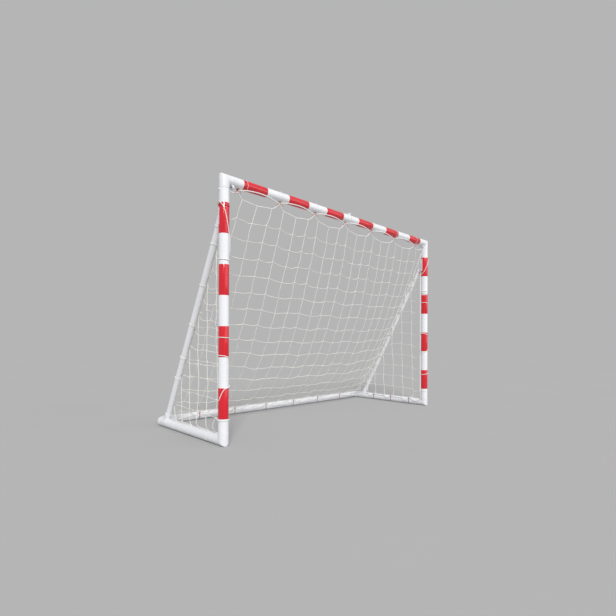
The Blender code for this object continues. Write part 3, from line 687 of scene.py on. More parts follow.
@dataclass(frozen=True)
class Twine(Surface):
    """A twisted or braided cord, rougher between its yarns, with painted shade that darkens it there."""

    yarns: float = 3.0
    pitch: float = 0.010
    bump_strength: float = 0.8
    sheen: float = 0.15

    def pattern(self, kit: NodeKit) -> tuple[bpy.types.NodeSocket, ...]:
        """Add the yarns: the crests' share against the painted shade between them, and their height twice."""
        twist = kit.group("twist", yarns=self.yarns, pitch=self.pitch, fuzz=0.35)
        return twist.outputs["Shade"], twist.outputs["Height"], twist.outputs["Height"]


class Finish(Enum):
    """The goal's finishes."""

    TUBE = Handled("goal_tube_white", (0.80, 0.81, 0.84), (0.66, 0.66, 0.67), bump=0.0006, roughness=0.24,
                   last_roughness=0.42, coat=0.25)
    MOULDING = Handled("goal_moulding_white", (0.77, 0.78, 0.81), (0.60, 0.60, 0.60), bump=0.0008,
                       roughness=0.34, last_roughness=0.52, scale=26.0, amount=0.40)
    # The film's last, lighter red is a painted highlight along the wrinkles' crests.
    FILM = Film("goal_film_red", (0.58, 0.003, 0.013), (0.70, 0.008, 0.024), bump=0.0009, roughness=0.16,
                last_roughness=0.38)
    STEEL = Handled("goal_pin_steel", (0.66, 0.67, 0.69), (0.36, 0.36, 0.37), bump=0.0002, roughness=0.22,
                    last_roughness=0.48, scale=160.0, amount=0.8, bump_strength=0.3, metallic=1.0,
                    coat_roughness=0.03)
    # For a twine, the first colour is painted shade between the yarns and the last is that of their crests.
    TWINE = Twine("goal_net_twine", (0.60, 0.58, 0.52), (0.88, 0.87, 0.82), bump=0.0006)
    CORD = Twine("goal_edge_cord", (0.70, 0.69, 0.67), (0.90, 0.90, 0.88), bump=0.0005, yarns=8.0,
                 pitch=0.014)
    ELASTIC = Twine("goal_tie_elastic", (0.26, 0.025, 0.016), (0.50, 0.070, 0.040), bump=0.0004, yarns=10.0,
                    pitch=0.008)
    CLIP = Handled("goal_clip_red", (0.34, 0.050, 0.058), (0.24, 0.042, 0.048), bump=0.0004, roughness=0.36,
                   last_roughness=0.55, scale=40.0, amount=0.5)


SHARP_ANGLE = 35.0
SOFT_ANGLES = {Finish.FILM: 50.0, Finish.TWINE: 60.0, Finish.CORD: 60.0, Finish.ELASTIC: 60.0}
MATERIALS: dict[Finish, bpy.types.Material] = {}


def build_materials() -> None:
    """Make the shared node groups and every finish's material."""
    scuff_group()
    wrinkle_group()
    twist_group()
    MATERIALS.update({finish: finish.value.build() for finish in Finish})


def dress(shell: Shell, name: str, finish: Finish, body: str, *nodes: str) -> bpy.types.Object:
    """Write a piece, give it its finish, its body and the nodes that it stands for, and report it.

    Args:
        shell: the piece's faces.
        name: its name.
        finish: its finish, which also says from which angle its edges are sharp.
        body: the body that it rides on, or nothing where it spans two and rides on neither.
        nodes: the nodes that it replaces, if any.

    Returns:
        The piece.
    """
    piece = shell.make(name, SOFT_ANGLES.get(finish, SHARP_ANGLE))
    piece.data.materials.append(MATERIALS[finish])
    if body:
        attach(piece, body)
    if nodes:
        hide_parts(*nodes)
    LOG.info("%s on %s", name, body or "two bodies")
    return piece


# Tubes and mouldings


TUBE_SIDES = 64
STRUT_SIDES = 48
PIN_SIDES = 32
SMALL_SIDES = 24
POST_BANDS = (1.378, 0.978, 0.578, 0.178)
BAR_BANDS = (0.1, 0.5, 0.9)
LOCK_BUTTON_DROP = 0.008
COLLAR_GROOVE = 0.0060
DISH = ((0.0030, 0.0080), (0.0, 0.0065))
FILLET = ((0.0, 0.0012), (0.0004, 0.0004), (0.0012, 0.0))
ELBOW_FILLET = ((0.0, 0.0012), (0.00036, 0.00036), (0.0012, 0.0))
GROOVE = ((0.0, 0.0), (0.0006, 0.0006), (0.0016, 0.0006), (0.0022, 0.0))
SPIGOT = ((0.0, 0.0044), (0.043, 0.0044), (0.045, 0.0054), (0.045, 0.0089), (0.0, 0.0089))
PIN_HEAD = ((-0.0021, 0.0008), (-0.0020, 0.0022), (-0.0016, 0.0040), (-0.0009, 0.0054), (-0.0003, 0.0060),
            (0.0, 0.0058))
PIN_TAIL = ((0.0, 0.0048), (0.0006, 0.0050), (0.0014, 0.0042), (0.0019, 0.0026), (0.0020, 0.0008))
SCREW_HEAD = ((-0.0020, 0.0036), (0.0006, 0.0040), (0.0014, 0.0036), (0.0021, 0.0024), (0.0023, 0.0014),
              (0.0012, 0.0010))
BUTTON_HEAD = ((-0.0010, 0.0070), (0.0040, 0.0070), (0.0062, 0.0062), (0.0078, 0.0042), (0.0084, 0.0020))


@dataclass
class BandedTube:
    """A straight white tube with square ends, and the red film round it in bands.

    A band is given by where it starts and ends along the tube.
    """

    name: str
    body: str
    node: str
    start: np.ndarray
    end: np.ndarray
    bands: list[tuple[float, float]] = field(default_factory=list)
    radius: float = GOAL.tube_radius
    wall: float = GOAL.tube_wall
    sides: int = TUBE_SIDES
    edge: float = 0.0004
    film_edge_length: float = 0.0003
    film_edge_drop: float = 0.0001
    seam_angle: float = 0.9
    seam_width: float = 0.010
    seam_rise: float = 0.01
    seam_fade: float = 0.15

    def build(self) -> None:
        """Make the tube and its films."""
        direction = unit(self.end - self.start)
        length = float(np.linalg.norm(self.end - self.start))
        shell = Shell()
        inner = self.radius - self.wall
        profile = np.array([(self.edge, self.radius), (length - self.edge, self.radius),
                            (length, self.radius - self.edge), (length, inner), (0.0, inner),
                            (0.0, self.radius - self.edge)])
        turn(shell, self.start, direction, profile, self.sides, closed=True)
        dress(shell, self.name, Finish.TUBE, self.body, self.node)
        for number, (low, high) in enumerate(self.bands, 1):
            dress(self.film(direction, low, high), f"{self.name}_film_{number}", Finish.FILM, self.body)

    def film(self, direction: np.ndarray, low: float, high: float) -> Shell:
        """One band of film: a thin sleeve whose ends overlap in a narrow strip along the tube.

        The radius is the tube's and the film's thickness, and once more the thickness in the strip.

        Args:
            direction: the tube's direction, of length 1.
            low: where the band starts along the tube.
            high: where it ends.

        Returns:
            The sleeve's faces.
        """
        across = -Z if direction[0] else X
        second = np.cross(direction, across)
        strip = self.seam_width / self.radius
        seam = self.seam_angle + np.array([0.0, self.seam_rise, strip, strip + self.seam_fade])
        angles = np.linspace(0.0, 2 * math.pi, self.sides, endpoint=False)
        angles = np.sort(np.concatenate([angles, seam]))
        lap = np.interp(angles, seam, [0.0, 1.0, 1.0, 0.0])
        spokes = np.cos(angles)[:, None] * across + np.sin(angles)[:, None] * second
        outer = self.radius + GOAL.film * (1.0 + lap)
        inner = np.full_like(outer, self.radius - GOAL.film)
        edge = outer - self.film_edge_drop
        stations = [(low, inner), (low, edge), (low + self.film_edge_length, outer),
                    (high - self.film_edge_length, outer), (high, edge), (high, inner)]
        rows = [self.start + along * direction + reach[:, None] * spokes for along, reach in stations]
        shell = Shell()
        shell.grid(np.stack(rows), wrap_rows=True, wrap_columns=True)
        return shell


def fitting_outline(start: float, onward: int, corners: tuple) -> list[tuple[float, float]]:
    """Places along a fitting and radii, from corners as steps from a start and depths under its skin."""
    return [(start + onward * step, GOAL.fitting_radius - depth) for step, depth in corners]


@dataclass
class Elbow:
    """A moulded corner between two tubes, mitred or bent, its arms ending in a spigot or at a fold."""

    name: str
    body: str
    corner: np.ndarray
    first_arm: np.ndarray
    second_arm: np.ndarray
    bent: bool
    two_spigots: bool
    sides: int = TUBE_SIDES
    rounding: float = 0.007
    rounding_steps: int = 8
    bend_radius: float = 0.050
    bend_steps: int = 20
    groove_place: float = 0.0100

    def shell(self) -> Shell:
        """The corner's own shell, from one arm's spigot to the other's.

        Rings of the fitting's radius are carried along one arm, round the corner and along the
        other arm. At a mitre the rings lean at half the turn, so that both arms stay round.

        Returns:
            The corner's faces.
        """
        shell = Shell()
        normal = np.cross(self.first_arm, self.second_arm)
        outs = (-self.second_arm, -self.first_arm)
        radius = self.bend_radius if self.bent else self.rounding
        steps = self.bend_steps if self.bent else self.rounding_steps
        middle = self.corner + radius * (self.first_arm + self.second_arm)
        turns = np.linspace(0.0, math.pi / 2, steps + 1)[:, None]
        out = np.cos(turns) * outs[0] + np.sin(turns) * outs[1]
        across = out if self.bent else np.broadcast_to(outs[0] + outs[1], out.shape)
        rows = self.arm(self.first_arm, outs[0], True)
        rows += list(zip(middle + radius * out, across, np.full(steps + 1, GOAL.fitting_radius)))
        rows += reversed(self.arm(self.second_arm, outs[1], self.two_spigots))
        places = np.stack([row[0] for row in rows])
        first = np.stack([row[1] for row in rows])
        reach = np.array([row[2] for row in rows])[:, None, None]
        ring = circle(self.sides)
        points = places[:, None] + reach * (ring[:, :1] * first[:, None] + ring[:, 1:] * normal)
        index = shell.grid(points, wrap_columns=True)
        shell.fan(index[None, 0], places[:1], outward=False)
        shell.fan(index[None, -1], places[-1:], outward=True)
        return shell

    def arm(self, direction: np.ndarray, out: np.ndarray, spigot: bool) -> list[tuple]:
        """Rings of one arm from its end to its root.

        Args:
            direction: the arm's direction, away from the corner.
            out: the rings' first axis.
            spigot: whether the arm ends in a spigot, and not at a fold.

        Returns:
            Each ring's place, first axis and radius.
        """
        tip = GOAL.corner_reach
        if spigot:
            outline = fitting_outline(tip, 1, SPIGOT[::-1])
        else:
            tip -= GOAL.fold_gap / 2
            outline = fitting_outline(tip, -1, DISH)
        outline += fitting_outline(tip, -1, ELBOW_FILLET)
        outline += fitting_outline(tip - self.groove_place, -1, GROOVE)
        return [(self.corner + along * direction, out, reach) for along, reach in outline]


@dataclass(frozen=True)
class LugSection:
    """A hinge knuckle's section: a round eye, and a web whose hollowed slope runs down into the fitting."""

    eye_start: float = 30.0
    eye_end: float = 270.0
    eye_points: int = 31
    slope_start: float = 0.15
    slope_end: float = 0.9
    slope_points: int = 6
    hollow: float = 0.0016
    hollow_way: tuple[float, float] = (0.35, 0.94)
    edge: float = 0.0006

    def outline(self) -> np.ndarray:
        """Its outline, counterclockwise from the eye's start.

        Returns:
            Pairs along the fitting and outward, from the pin's middle.
        """
        eye = arc(GOAL.knuckle_radius, self.eye_start, self.eye_end, self.eye_points)
        root = GOAL.fitting_radius - GOAL.pin_offset - GOAL.lug_depth
        web = np.array([(GOAL.fold_gap / 2, root), (GOAL.lug_length, root),
                        (GOAL.lug_length, root + GOAL.lug_depth / 2)])
        share = np.linspace(self.slope_start, self.slope_end, self.slope_points)[:, None]
        slope = web[2] + share * (eye[0] - web[2])
        slope -= self.hollow * np.sin(share * math.pi) * np.array(self.hollow_way)
        return np.concatenate([eye, web, slope])


def add_knuckles(shell: Shell, pin: np.ndarray, along: np.ndarray, outward: np.ndarray, middle: bool) -> None:
    """Add a hinge half's knuckles, each a round eye with a web down into its fitting.

    Args:
        shell: the shell that takes the faces.
        pin: the pin's middle.
        along: the fitting's own direction, away from the fold.
        outward: from the tube to the pin.
        middle: whether it is the half with one knuckle in the middle.
    """
    lug = LugSection()
    half = GOAL.middle_knuckle / 2
    inner = half + GOAL.knuckle_gap
    spans = [(-half, half)] if middle else [(-GOAL.hinge_width / 2, -inner), (inner, GOAL.hinge_width / 2)]
    for low, high in spans:
        prism(shell, lug.outline(), pin, along, outward, low, high, lug.edge)


def add_bar_end(shell: Shell, pin: np.ndarray, along: np.ndarray, outward: np.ndarray, middle: bool) -> None:
    """Add a folding bar's moulded end: a collar with a groove, a spigot, and its knuckles.

    Args:
        shell: the shell that takes the faces.
        pin: the pin's middle.
        along: the bar's direction, away from the fold.
        outward: from the tube to the pin.
        middle: whether it is the half with one knuckle in the middle.
    """
    gap, tip = GOAL.fold_gap / 2, GOAL.end_collar
    outline = fitting_outline(gap, 1, DISH + FILLET) + fitting_outline(tip - COLLAR_GROOVE, 1, GROOVE)
    outline += fitting_outline(tip, -1, FILLET[::-1]) + fitting_outline(tip, 1, SPIGOT)
    turn(shell, pin - GOAL.pin_offset * outward, along, np.array(outline), TUBE_SIDES)
    add_knuckles(shell, pin, along, outward, middle)


def hinge_pin(name: str, body: str, pin: np.ndarray, direction: np.ndarray) -> None:
    """Make a hinge pin: a domed head at one end, a peened rivet end at the other.

    Args:
        name: the pin's node.
        body: the body that it rides on.
        pin: its middle.
        direction: its direction, from its head to its rivet end.
    """
    reach = GOAL.hinge_width / 2 + GOAL.seam
    head = np.array([*PIN_HEAD, (0.0, GOAL.pin_radius)]) - (reach, 0.0)
    tail = np.array([(0.0, GOAL.pin_radius), *PIN_TAIL]) + (reach, 0.0)
    shell = Shell()
    turn(shell, pin, direction, np.concatenate([head, tail]), PIN_SIDES)
    dress(shell, name + "_steel", Finish.STEEL, body, name)


@dataclass
class StrutSocket:
    """A saddle that hugs a tube, with a cup for the strut's end and two screws."""

    name: str
    body: str
    root: np.ndarray
    strut_axis: np.ndarray
    tube_axis: np.ndarray
    outward: np.ndarray
    seat: float
    wall: float = 0.003
    margin: float = 0.016
    cup_wall: float = 0.0025
    cup_flare: float = 0.001
    depth: float = 0.035
    rim_length: float = 0.009
    rim_height: float = 0.0012
    rim_step: float = 0.001
    rim_edge: float = 0.0002
    wrap: float = 81.0
    wrap_points: int = 49
    screw_margin: float = 0.00672

    def build(self) -> None:
        """Make the socket and its screws."""
        rise = float(self.strut_axis @ self.outward)
        lean = float(self.strut_axis @ self.tube_axis)
        start = (self.seat + self.wall + GOAL.strut_radius * abs(lean)) / rise
        end = start + self.depth
        bore = GOAL.strut_radius + GOAL.seam
        skin = bore + self.cup_wall
        rim = skin + self.rim_height
        centre = (self.seat + self.wall) * lean / rise
        half = skin / rise + self.margin
        shell = Shell()
        self.saddle(shell, centre - half, centre + half)
        profile = np.array([(0.0, skin + self.cup_flare), (end - self.rim_length, skin),
                            (end - self.rim_length + self.rim_step, rim), (end - self.rim_step, rim),
                            (end, skin + self.rim_edge), (end, bore), (start, bore)])
        self.cup(shell, profile, self.seat + self.wall / 2)
        dress(shell, self.name + "_moulding", Finish.MOULDING, self.body, self.name)
        for number, shift in enumerate((-1, 1), 1):
            self.screw(number, centre + shift * (half - self.screw_margin))

    def saddle(self, shell: Shell, low: float, high: float) -> None:
        """Add a rounded strip section, as long as the saddle, carried round one side of the tube.

        Args:
            shell: the shell that takes the faces.
            low: where the saddle starts along the tube, from the root.
            high: where it ends.
        """
        across = np.cross(self.tube_axis, self.outward)
        path = arc(self.seat + self.wall / 2, -self.wrap, self.wrap, self.wrap_points)
        middle = self.root + (low + high) / 2 * self.tube_axis
        path = middle + path[:, :1] * self.outward + path[:, 1:] * across
        sweep(shell, path, 1.0, self.tube_axis, 0, rounded_section((high - low) / 2, self.wall / 2))

    def cup(self, shell: Shell, profile: np.ndarray, floor: float) -> None:
        """Add the cup for the strut, its foot cut to the tube's own roundness.

        Points of the first ring are slid along the strut's axis onto the cylinder at the floor's
        radius about the tube.

        Args:
            shell: the shell that takes the faces.
            profile: places along the strut's axis and radii, from the foot round the rim to the bore.
            floor: the floor's radius about the tube.
        """
        axis = self.strut_axis
        rise = float(axis @ self.outward)
        first = unit(np.cross(self.tube_axis, axis))
        spokes = circle(STRUT_SIDES) @ np.stack([first, np.cross(axis, first)])
        rings = self.root + profile[:, :1, None] * axis + profile[:, 1:, None] * spokes
        flat = rings[0] - self.root
        side = np.clip(flat @ np.cross(self.tube_axis, self.outward), -floor, floor)
        wanted = np.sqrt(np.maximum(floor**2 - side**2, 0.0))
        rings[0] += ((wanted - flat @ self.outward) / rise)[:, None] * axis
        index = shell.grid(rings, wrap_columns=True)
        shell.fan(index[None, 0], (self.root + floor / rise * axis)[None], outward=False)
        shell.fan(index[None, -1], (self.root + profile[-1, 0] * axis)[None], outward=True)

    def screw(self, number: int, along: float) -> None:
        """Make a pan-head screw through the saddle.

        Args:
            number: its number in the piece's name.
            along: its place along the tube, from the root.
        """
        place = self.root + along * self.tube_axis + (self.seat + self.wall) * self.outward
        shell = Shell()
        turn(shell, place, self.outward, np.array(SCREW_HEAD), SMALL_SIDES)
        dress(shell, f"{self.name}_screw_{number}", Finish.STEEL, self.body)


# Holders


CORD_SIDES = 8
ROPE_SIDES = 10
TIE_ACROSS = unit(np.array([0.93, 0.21, 0.30]))
LACING_ACROSS = unit(np.array([0.21, 0.93, 0.30]))
TAIL_ACROSS = unit(np.array([0.3, 0.9, 0.3]))
ROPE_ACROSS = unit(np.array([0.1, 0.8, 0.6]))
KNOT_SIZES = (0.88, 1.14)
KNOT_SWELL = 0.22
KNOT_WAIST = 0.10
HOOK_BENDS = ((0.0, 0.0062), (0.0035, 0.0045), (0.0052, 0.0005), (0.0040, -0.0035), (0.0015, -0.0048))


@dataclass
class SnapClip:
    """A white spring band round a base tube, open below, and the red hook on its inner side.

    Each of the hook's bends is how far it lies beyond where the net is held, and how far below.
    """

    name: str
    body: str
    centre: np.ndarray
    axis: np.ndarray
    inward: np.ndarray
    width: float = 0.010
    thickness: float = 0.0022
    sweep_degrees: float = 216.0
    band_points: int = 49
    lip: tuple[float, float] = (0.0022, -0.0035)
    strap_rise: float = 0.0010
    strap_low: float = -34.0
    strap_high: float = 16.0
    strap_points: int = 9
    hook_tilt: float = 45.0
    hook_width: float = 0.0030
    hook_thickness: float = 0.0013
    hook_start: float = 0.006
    hook_share: float = 0.45

    def build(self) -> None:
        """Make the spring band with its turned-out lips, and the hook that is riveted over it."""
        radius = GOAL.tube_radius + GOAL.seam + self.thickness / 2
        band = arc(radius, 90.0 - self.sweep_degrees / 2, 90.0 + self.sweep_degrees / 2, self.band_points)
        path = np.stack([band[0] + self.lip, *band, band[-1] + np.array(self.lip) * (-1.0, 1.0)])
        spring = Shell()
        section = rounded_section(self.width / 2, self.thickness / 2)
        sweep(spring, self.placed(path), 1.0, self.axis, 0, section)
        dress(spring, self.name + "_spring", Finish.MOULDING, self.body, self.name)
        strap = arc(radius + self.thickness / 2 + self.strap_rise, self.strap_low, self.strap_high,
                    self.strap_points)
        out = arc(1.0, self.hook_tilt, self.hook_tilt, 1)[0]
        beside = np.array([out[1], -out[0]])
        table = np.array(HOOK_BENDS)
        bends = (GOAL.hook_hold + table[:, :1]) * out + table[:, 1:] * beside
        root = GOAL.hook_hold * out + self.hook_start * beside
        between = (1.0 - self.hook_share) * strap[-1] + self.hook_share * root
        hook = Shell()
        route = smooth_path(np.stack([*strap, between, *bends]), steps=5)
        section = rounded_section(self.hook_width, self.hook_thickness)
        sweep(hook, self.placed(route), 1.0, self.axis, 0, section)
        dress(hook, self.name + "_hook", Finish.CLIP, self.body)

    def placed(self, pairs: np.ndarray) -> np.ndarray:
        """Points of the clip's own plane, inward and up, put where the clip sits."""
        return self.centre + pairs[:, :1] * self.inward + pairs[:, 1:] * Z


@dataclass
class CrossedTie:
    """A white cord over the crossbar, and the red elastic below it that crosses and holds the net."""

    name: str
    body: str
    place: float
    seed: int
    cord_shift: float = 0.0
    thickness: float = 0.0034
    cord: float = 0.0024
    cord_clearance: float = 0.0002
    cord_low: float = -86.0
    cord_high: float = 266.0
    cord_points: int = 31
    cord_share: float = 0.7
    reach: float = 0.016
    crossing: float = -GOAL.tube_radius - 0.0095
    tail_lengths: tuple[float, float] = (0.027, 0.020)
    tail_start: float = 0.004
    tail_bend: tuple[float, float, float] = (0.013, -0.009, -0.008)
    tail_tip: tuple[float, float] = (-0.006, -0.026)
    tail_share: float = 0.36
    tail_drift: float = 0.004
    knot_radius: float = 0.0056

    def build(self) -> None:
        """Make the cord, the elastic with its two tails, and the knot where the elastic crosses."""
        radius = GOAL.tube_radius + 2 * GOAL.film + self.thickness / 2 + self.cord_clearance
        angles = np.radians(np.linspace(self.cord_low, self.cord_high, self.cord_points))
        shift = np.linspace(1.0, -1.0, self.cord_points) * self.reach * self.cord_share
        over = np.stack([shift, -radius * np.cos(angles), radius * np.sin(angles)], axis=-1)
        over = smooth_path(over, steps=3) + self.cord_shift * X
        self.carry("_cord", Finish.CORD, [(over, self.cord / 2, False)])
        runs = [(self.loop(), self.thickness / 2, True)]
        runs += [(tail, self.thickness * self.tail_share, False) for tail in self.tails()]
        self.carry("_elastic", Finish.ELASTIC, runs, self.name)
        knot = Shell()
        place = GOAL.bar_middle() + self.place * X + self.crossing * Z
        add_knots(knot, place[None], self.knot_radius, self.seed)
        dress(knot, self.name + "_knot", Finish.ELASTIC, self.body)

    def loop(self) -> np.ndarray:
        """The elastic's closed way: down from the bar, crossing itself, round the net's edge and back.

        Its points are given along the bar as shares of the reach, then towards the back and up.

        Returns:
            The way, from the bar's axis at the tie's place.
        """
        low = -GOAL.tie_drop + 0.0015
        points = np.array([(-0.45, 0.0080, -0.0372), (0.0, 0.0040, self.crossing), (0.55, -0.0010, -0.052),
                           (0.45, -0.0012, low), (0.0, -0.0005, low - 0.0026), (-0.45, 0.0012, low),
                           (-0.55, 0.0010, -0.052), (0.0, -0.0040, self.crossing), (0.45, -0.0080, -0.0372)])
        return smooth_path(points * (self.reach, 1.0, 1.0), steps=5, loop=True)

    def tails(self) -> list[np.ndarray]:
        """The two ends that hang from the crossing, each drifting its own way.

        Returns:
            Their ways, from the bar's axis at the tie's place.
        """
        chance = np.random.default_rng(self.seed)
        tails = []
        for side, length in zip((-1, 1), self.tail_lengths):
            start = np.array([0.0, -side * self.tail_start, self.crossing])
            drift = chance.uniform(-self.tail_drift, self.tail_drift, 3)
            tip = start + (side * length, *self.tail_tip) + drift
            bend = start + np.array(self.tail_bend) * (side, 1.0, 1.0)
            tails.append(smooth_path(np.stack([start, bend, tip]), steps=6))
        return tails

    def carry(self, label: str, finish: Finish, runs: list[tuple], *nodes: str) -> None:
        """Make one piece from runs of cord.

        Args:
            label: the end of the piece's name.
            finish: its finish.
            runs: for each run its path about the bar's axis, its radius, and whether it closes.
            nodes: the nodes that it replaces, if any.
        """
        shell = Shell()
        for path, radius, closed in runs:
            placed = path + GOAL.bar_middle() + self.place * X
            sweep(shell, placed, radius, TIE_ACROSS, ROPE_SIDES, loop=closed)
        dress(shell, self.name + label, finish, self.body, *nodes)


# Nets and cords


def add_knots(shell: Shell, places: np.ndarray, radius: float, seed: int) -> None:
    """Add a knot at each place: a small ball with two crossing lobes, turned its own way.

    The ball's radius swells with the sine of twice the longitude and three times the latitude, and
    shrinks with the cosine of four times the latitude. A turn is a random quaternion. Its matrix is
    the sum of twice the square of its scalar less one on the diagonal, twice its vector part times
    itself, and twice the scalar times what crosses with the vector part.

    Args:
        shell: the shell that takes the faces.
        places: the knots' middles.
        radius: the knots' mean radius.
        seed: seeds the turns.
    """
    chance = np.random.default_rng(seed)
    count = len(places)
    latitude = np.linspace(-math.pi / 2, math.pi / 2, 6)[1:-1]
    longitude = np.arange(8) * math.pi / 4
    lat, lon = np.meshgrid(latitude, longitude, indexing="ij")
    swell = radius * (1.0 + KNOT_SWELL * np.sin(2 * lon + 3 * lat) - KNOT_WAIST * np.cos(4 * lat))
    ways = np.stack([np.cos(lat) * np.cos(lon), np.cos(lat) * np.sin(lon), np.sin(lat)], axis=-1)
    ball = swell[..., None] * ways
    turns = unit(chance.normal(size=(count, 4)))
    w, axis = turns[:, :1, None], turns[:, None, 1:]
    matrix = (2 * w**2 - 1) * np.eye(3) + 2 * axis * axis.transpose(0, 2, 1)
    matrix += 2 * w * np.cross(np.eye(3), axis)
    size = chance.uniform(*KNOT_SIZES, (count, 1, 1, 1))
    points = size * np.einsum("nij,rcj->nrci", matrix, ball) + places[:, None, None]
    index = shell.grid(points, wrap_columns=True)
    poles = radius * size[:, 0, 0] * matrix[:, :, 2]
    shell.fan(index[:, 0], places - poles, outward=False)
    shell.fan(index[:, -1], places + poles, outward=True)


class Trim(Enum):
    """What a strand of a net is: plain twine, or part of the thicker cord along an edge."""

    TWINE = 0
    HEM = 1
    STRUT_EDGE = 2
    POST_EDGE = 3


LEVEL_SLACK = (1.02, 1.09)
UPRIGHT_SLACK = (1.000, 1.018)
HEM_SLACK = 1.07
HOLD_HALF = 0.006
NET_FLOOR = 0.008
NET_CLEARANCE = 0.008
STEP_FALL = 0.0039
POINT_MASS = 0.002
TWINE_STIFFNESS = 2500
TIME_STEP = 0.02
STEPS = 40
PULLS_PER_STEP = 12
SPEED_KEPT = 0.9
NET_SEED = 41
BACK_NET_DRAW_SEED = 7
SIDE_NET_DRAW_SEED = 20
LACING_SEED = 61
POST_TIE_SEED = 71
KNOT_RADIUS = 0.0046
END_KNOT_RADIUS = 0.0060
TWINE = 0.0046
EDGE_CORD = 0.0030
POST_EDGE_CORD = 0.0022
CRIMP = 0.017
STRAND_POINTS = 10
TWINE_SIDES = 6
EDGES = {
    Trim.HEM: ("hem_cord", EDGE_CORD), Trim.STRUT_EDGE: ("strut_edge_cord", EDGE_CORD),
    Trim.POST_EDGE: ("post_edge_cord", POST_EDGE_CORD),
}


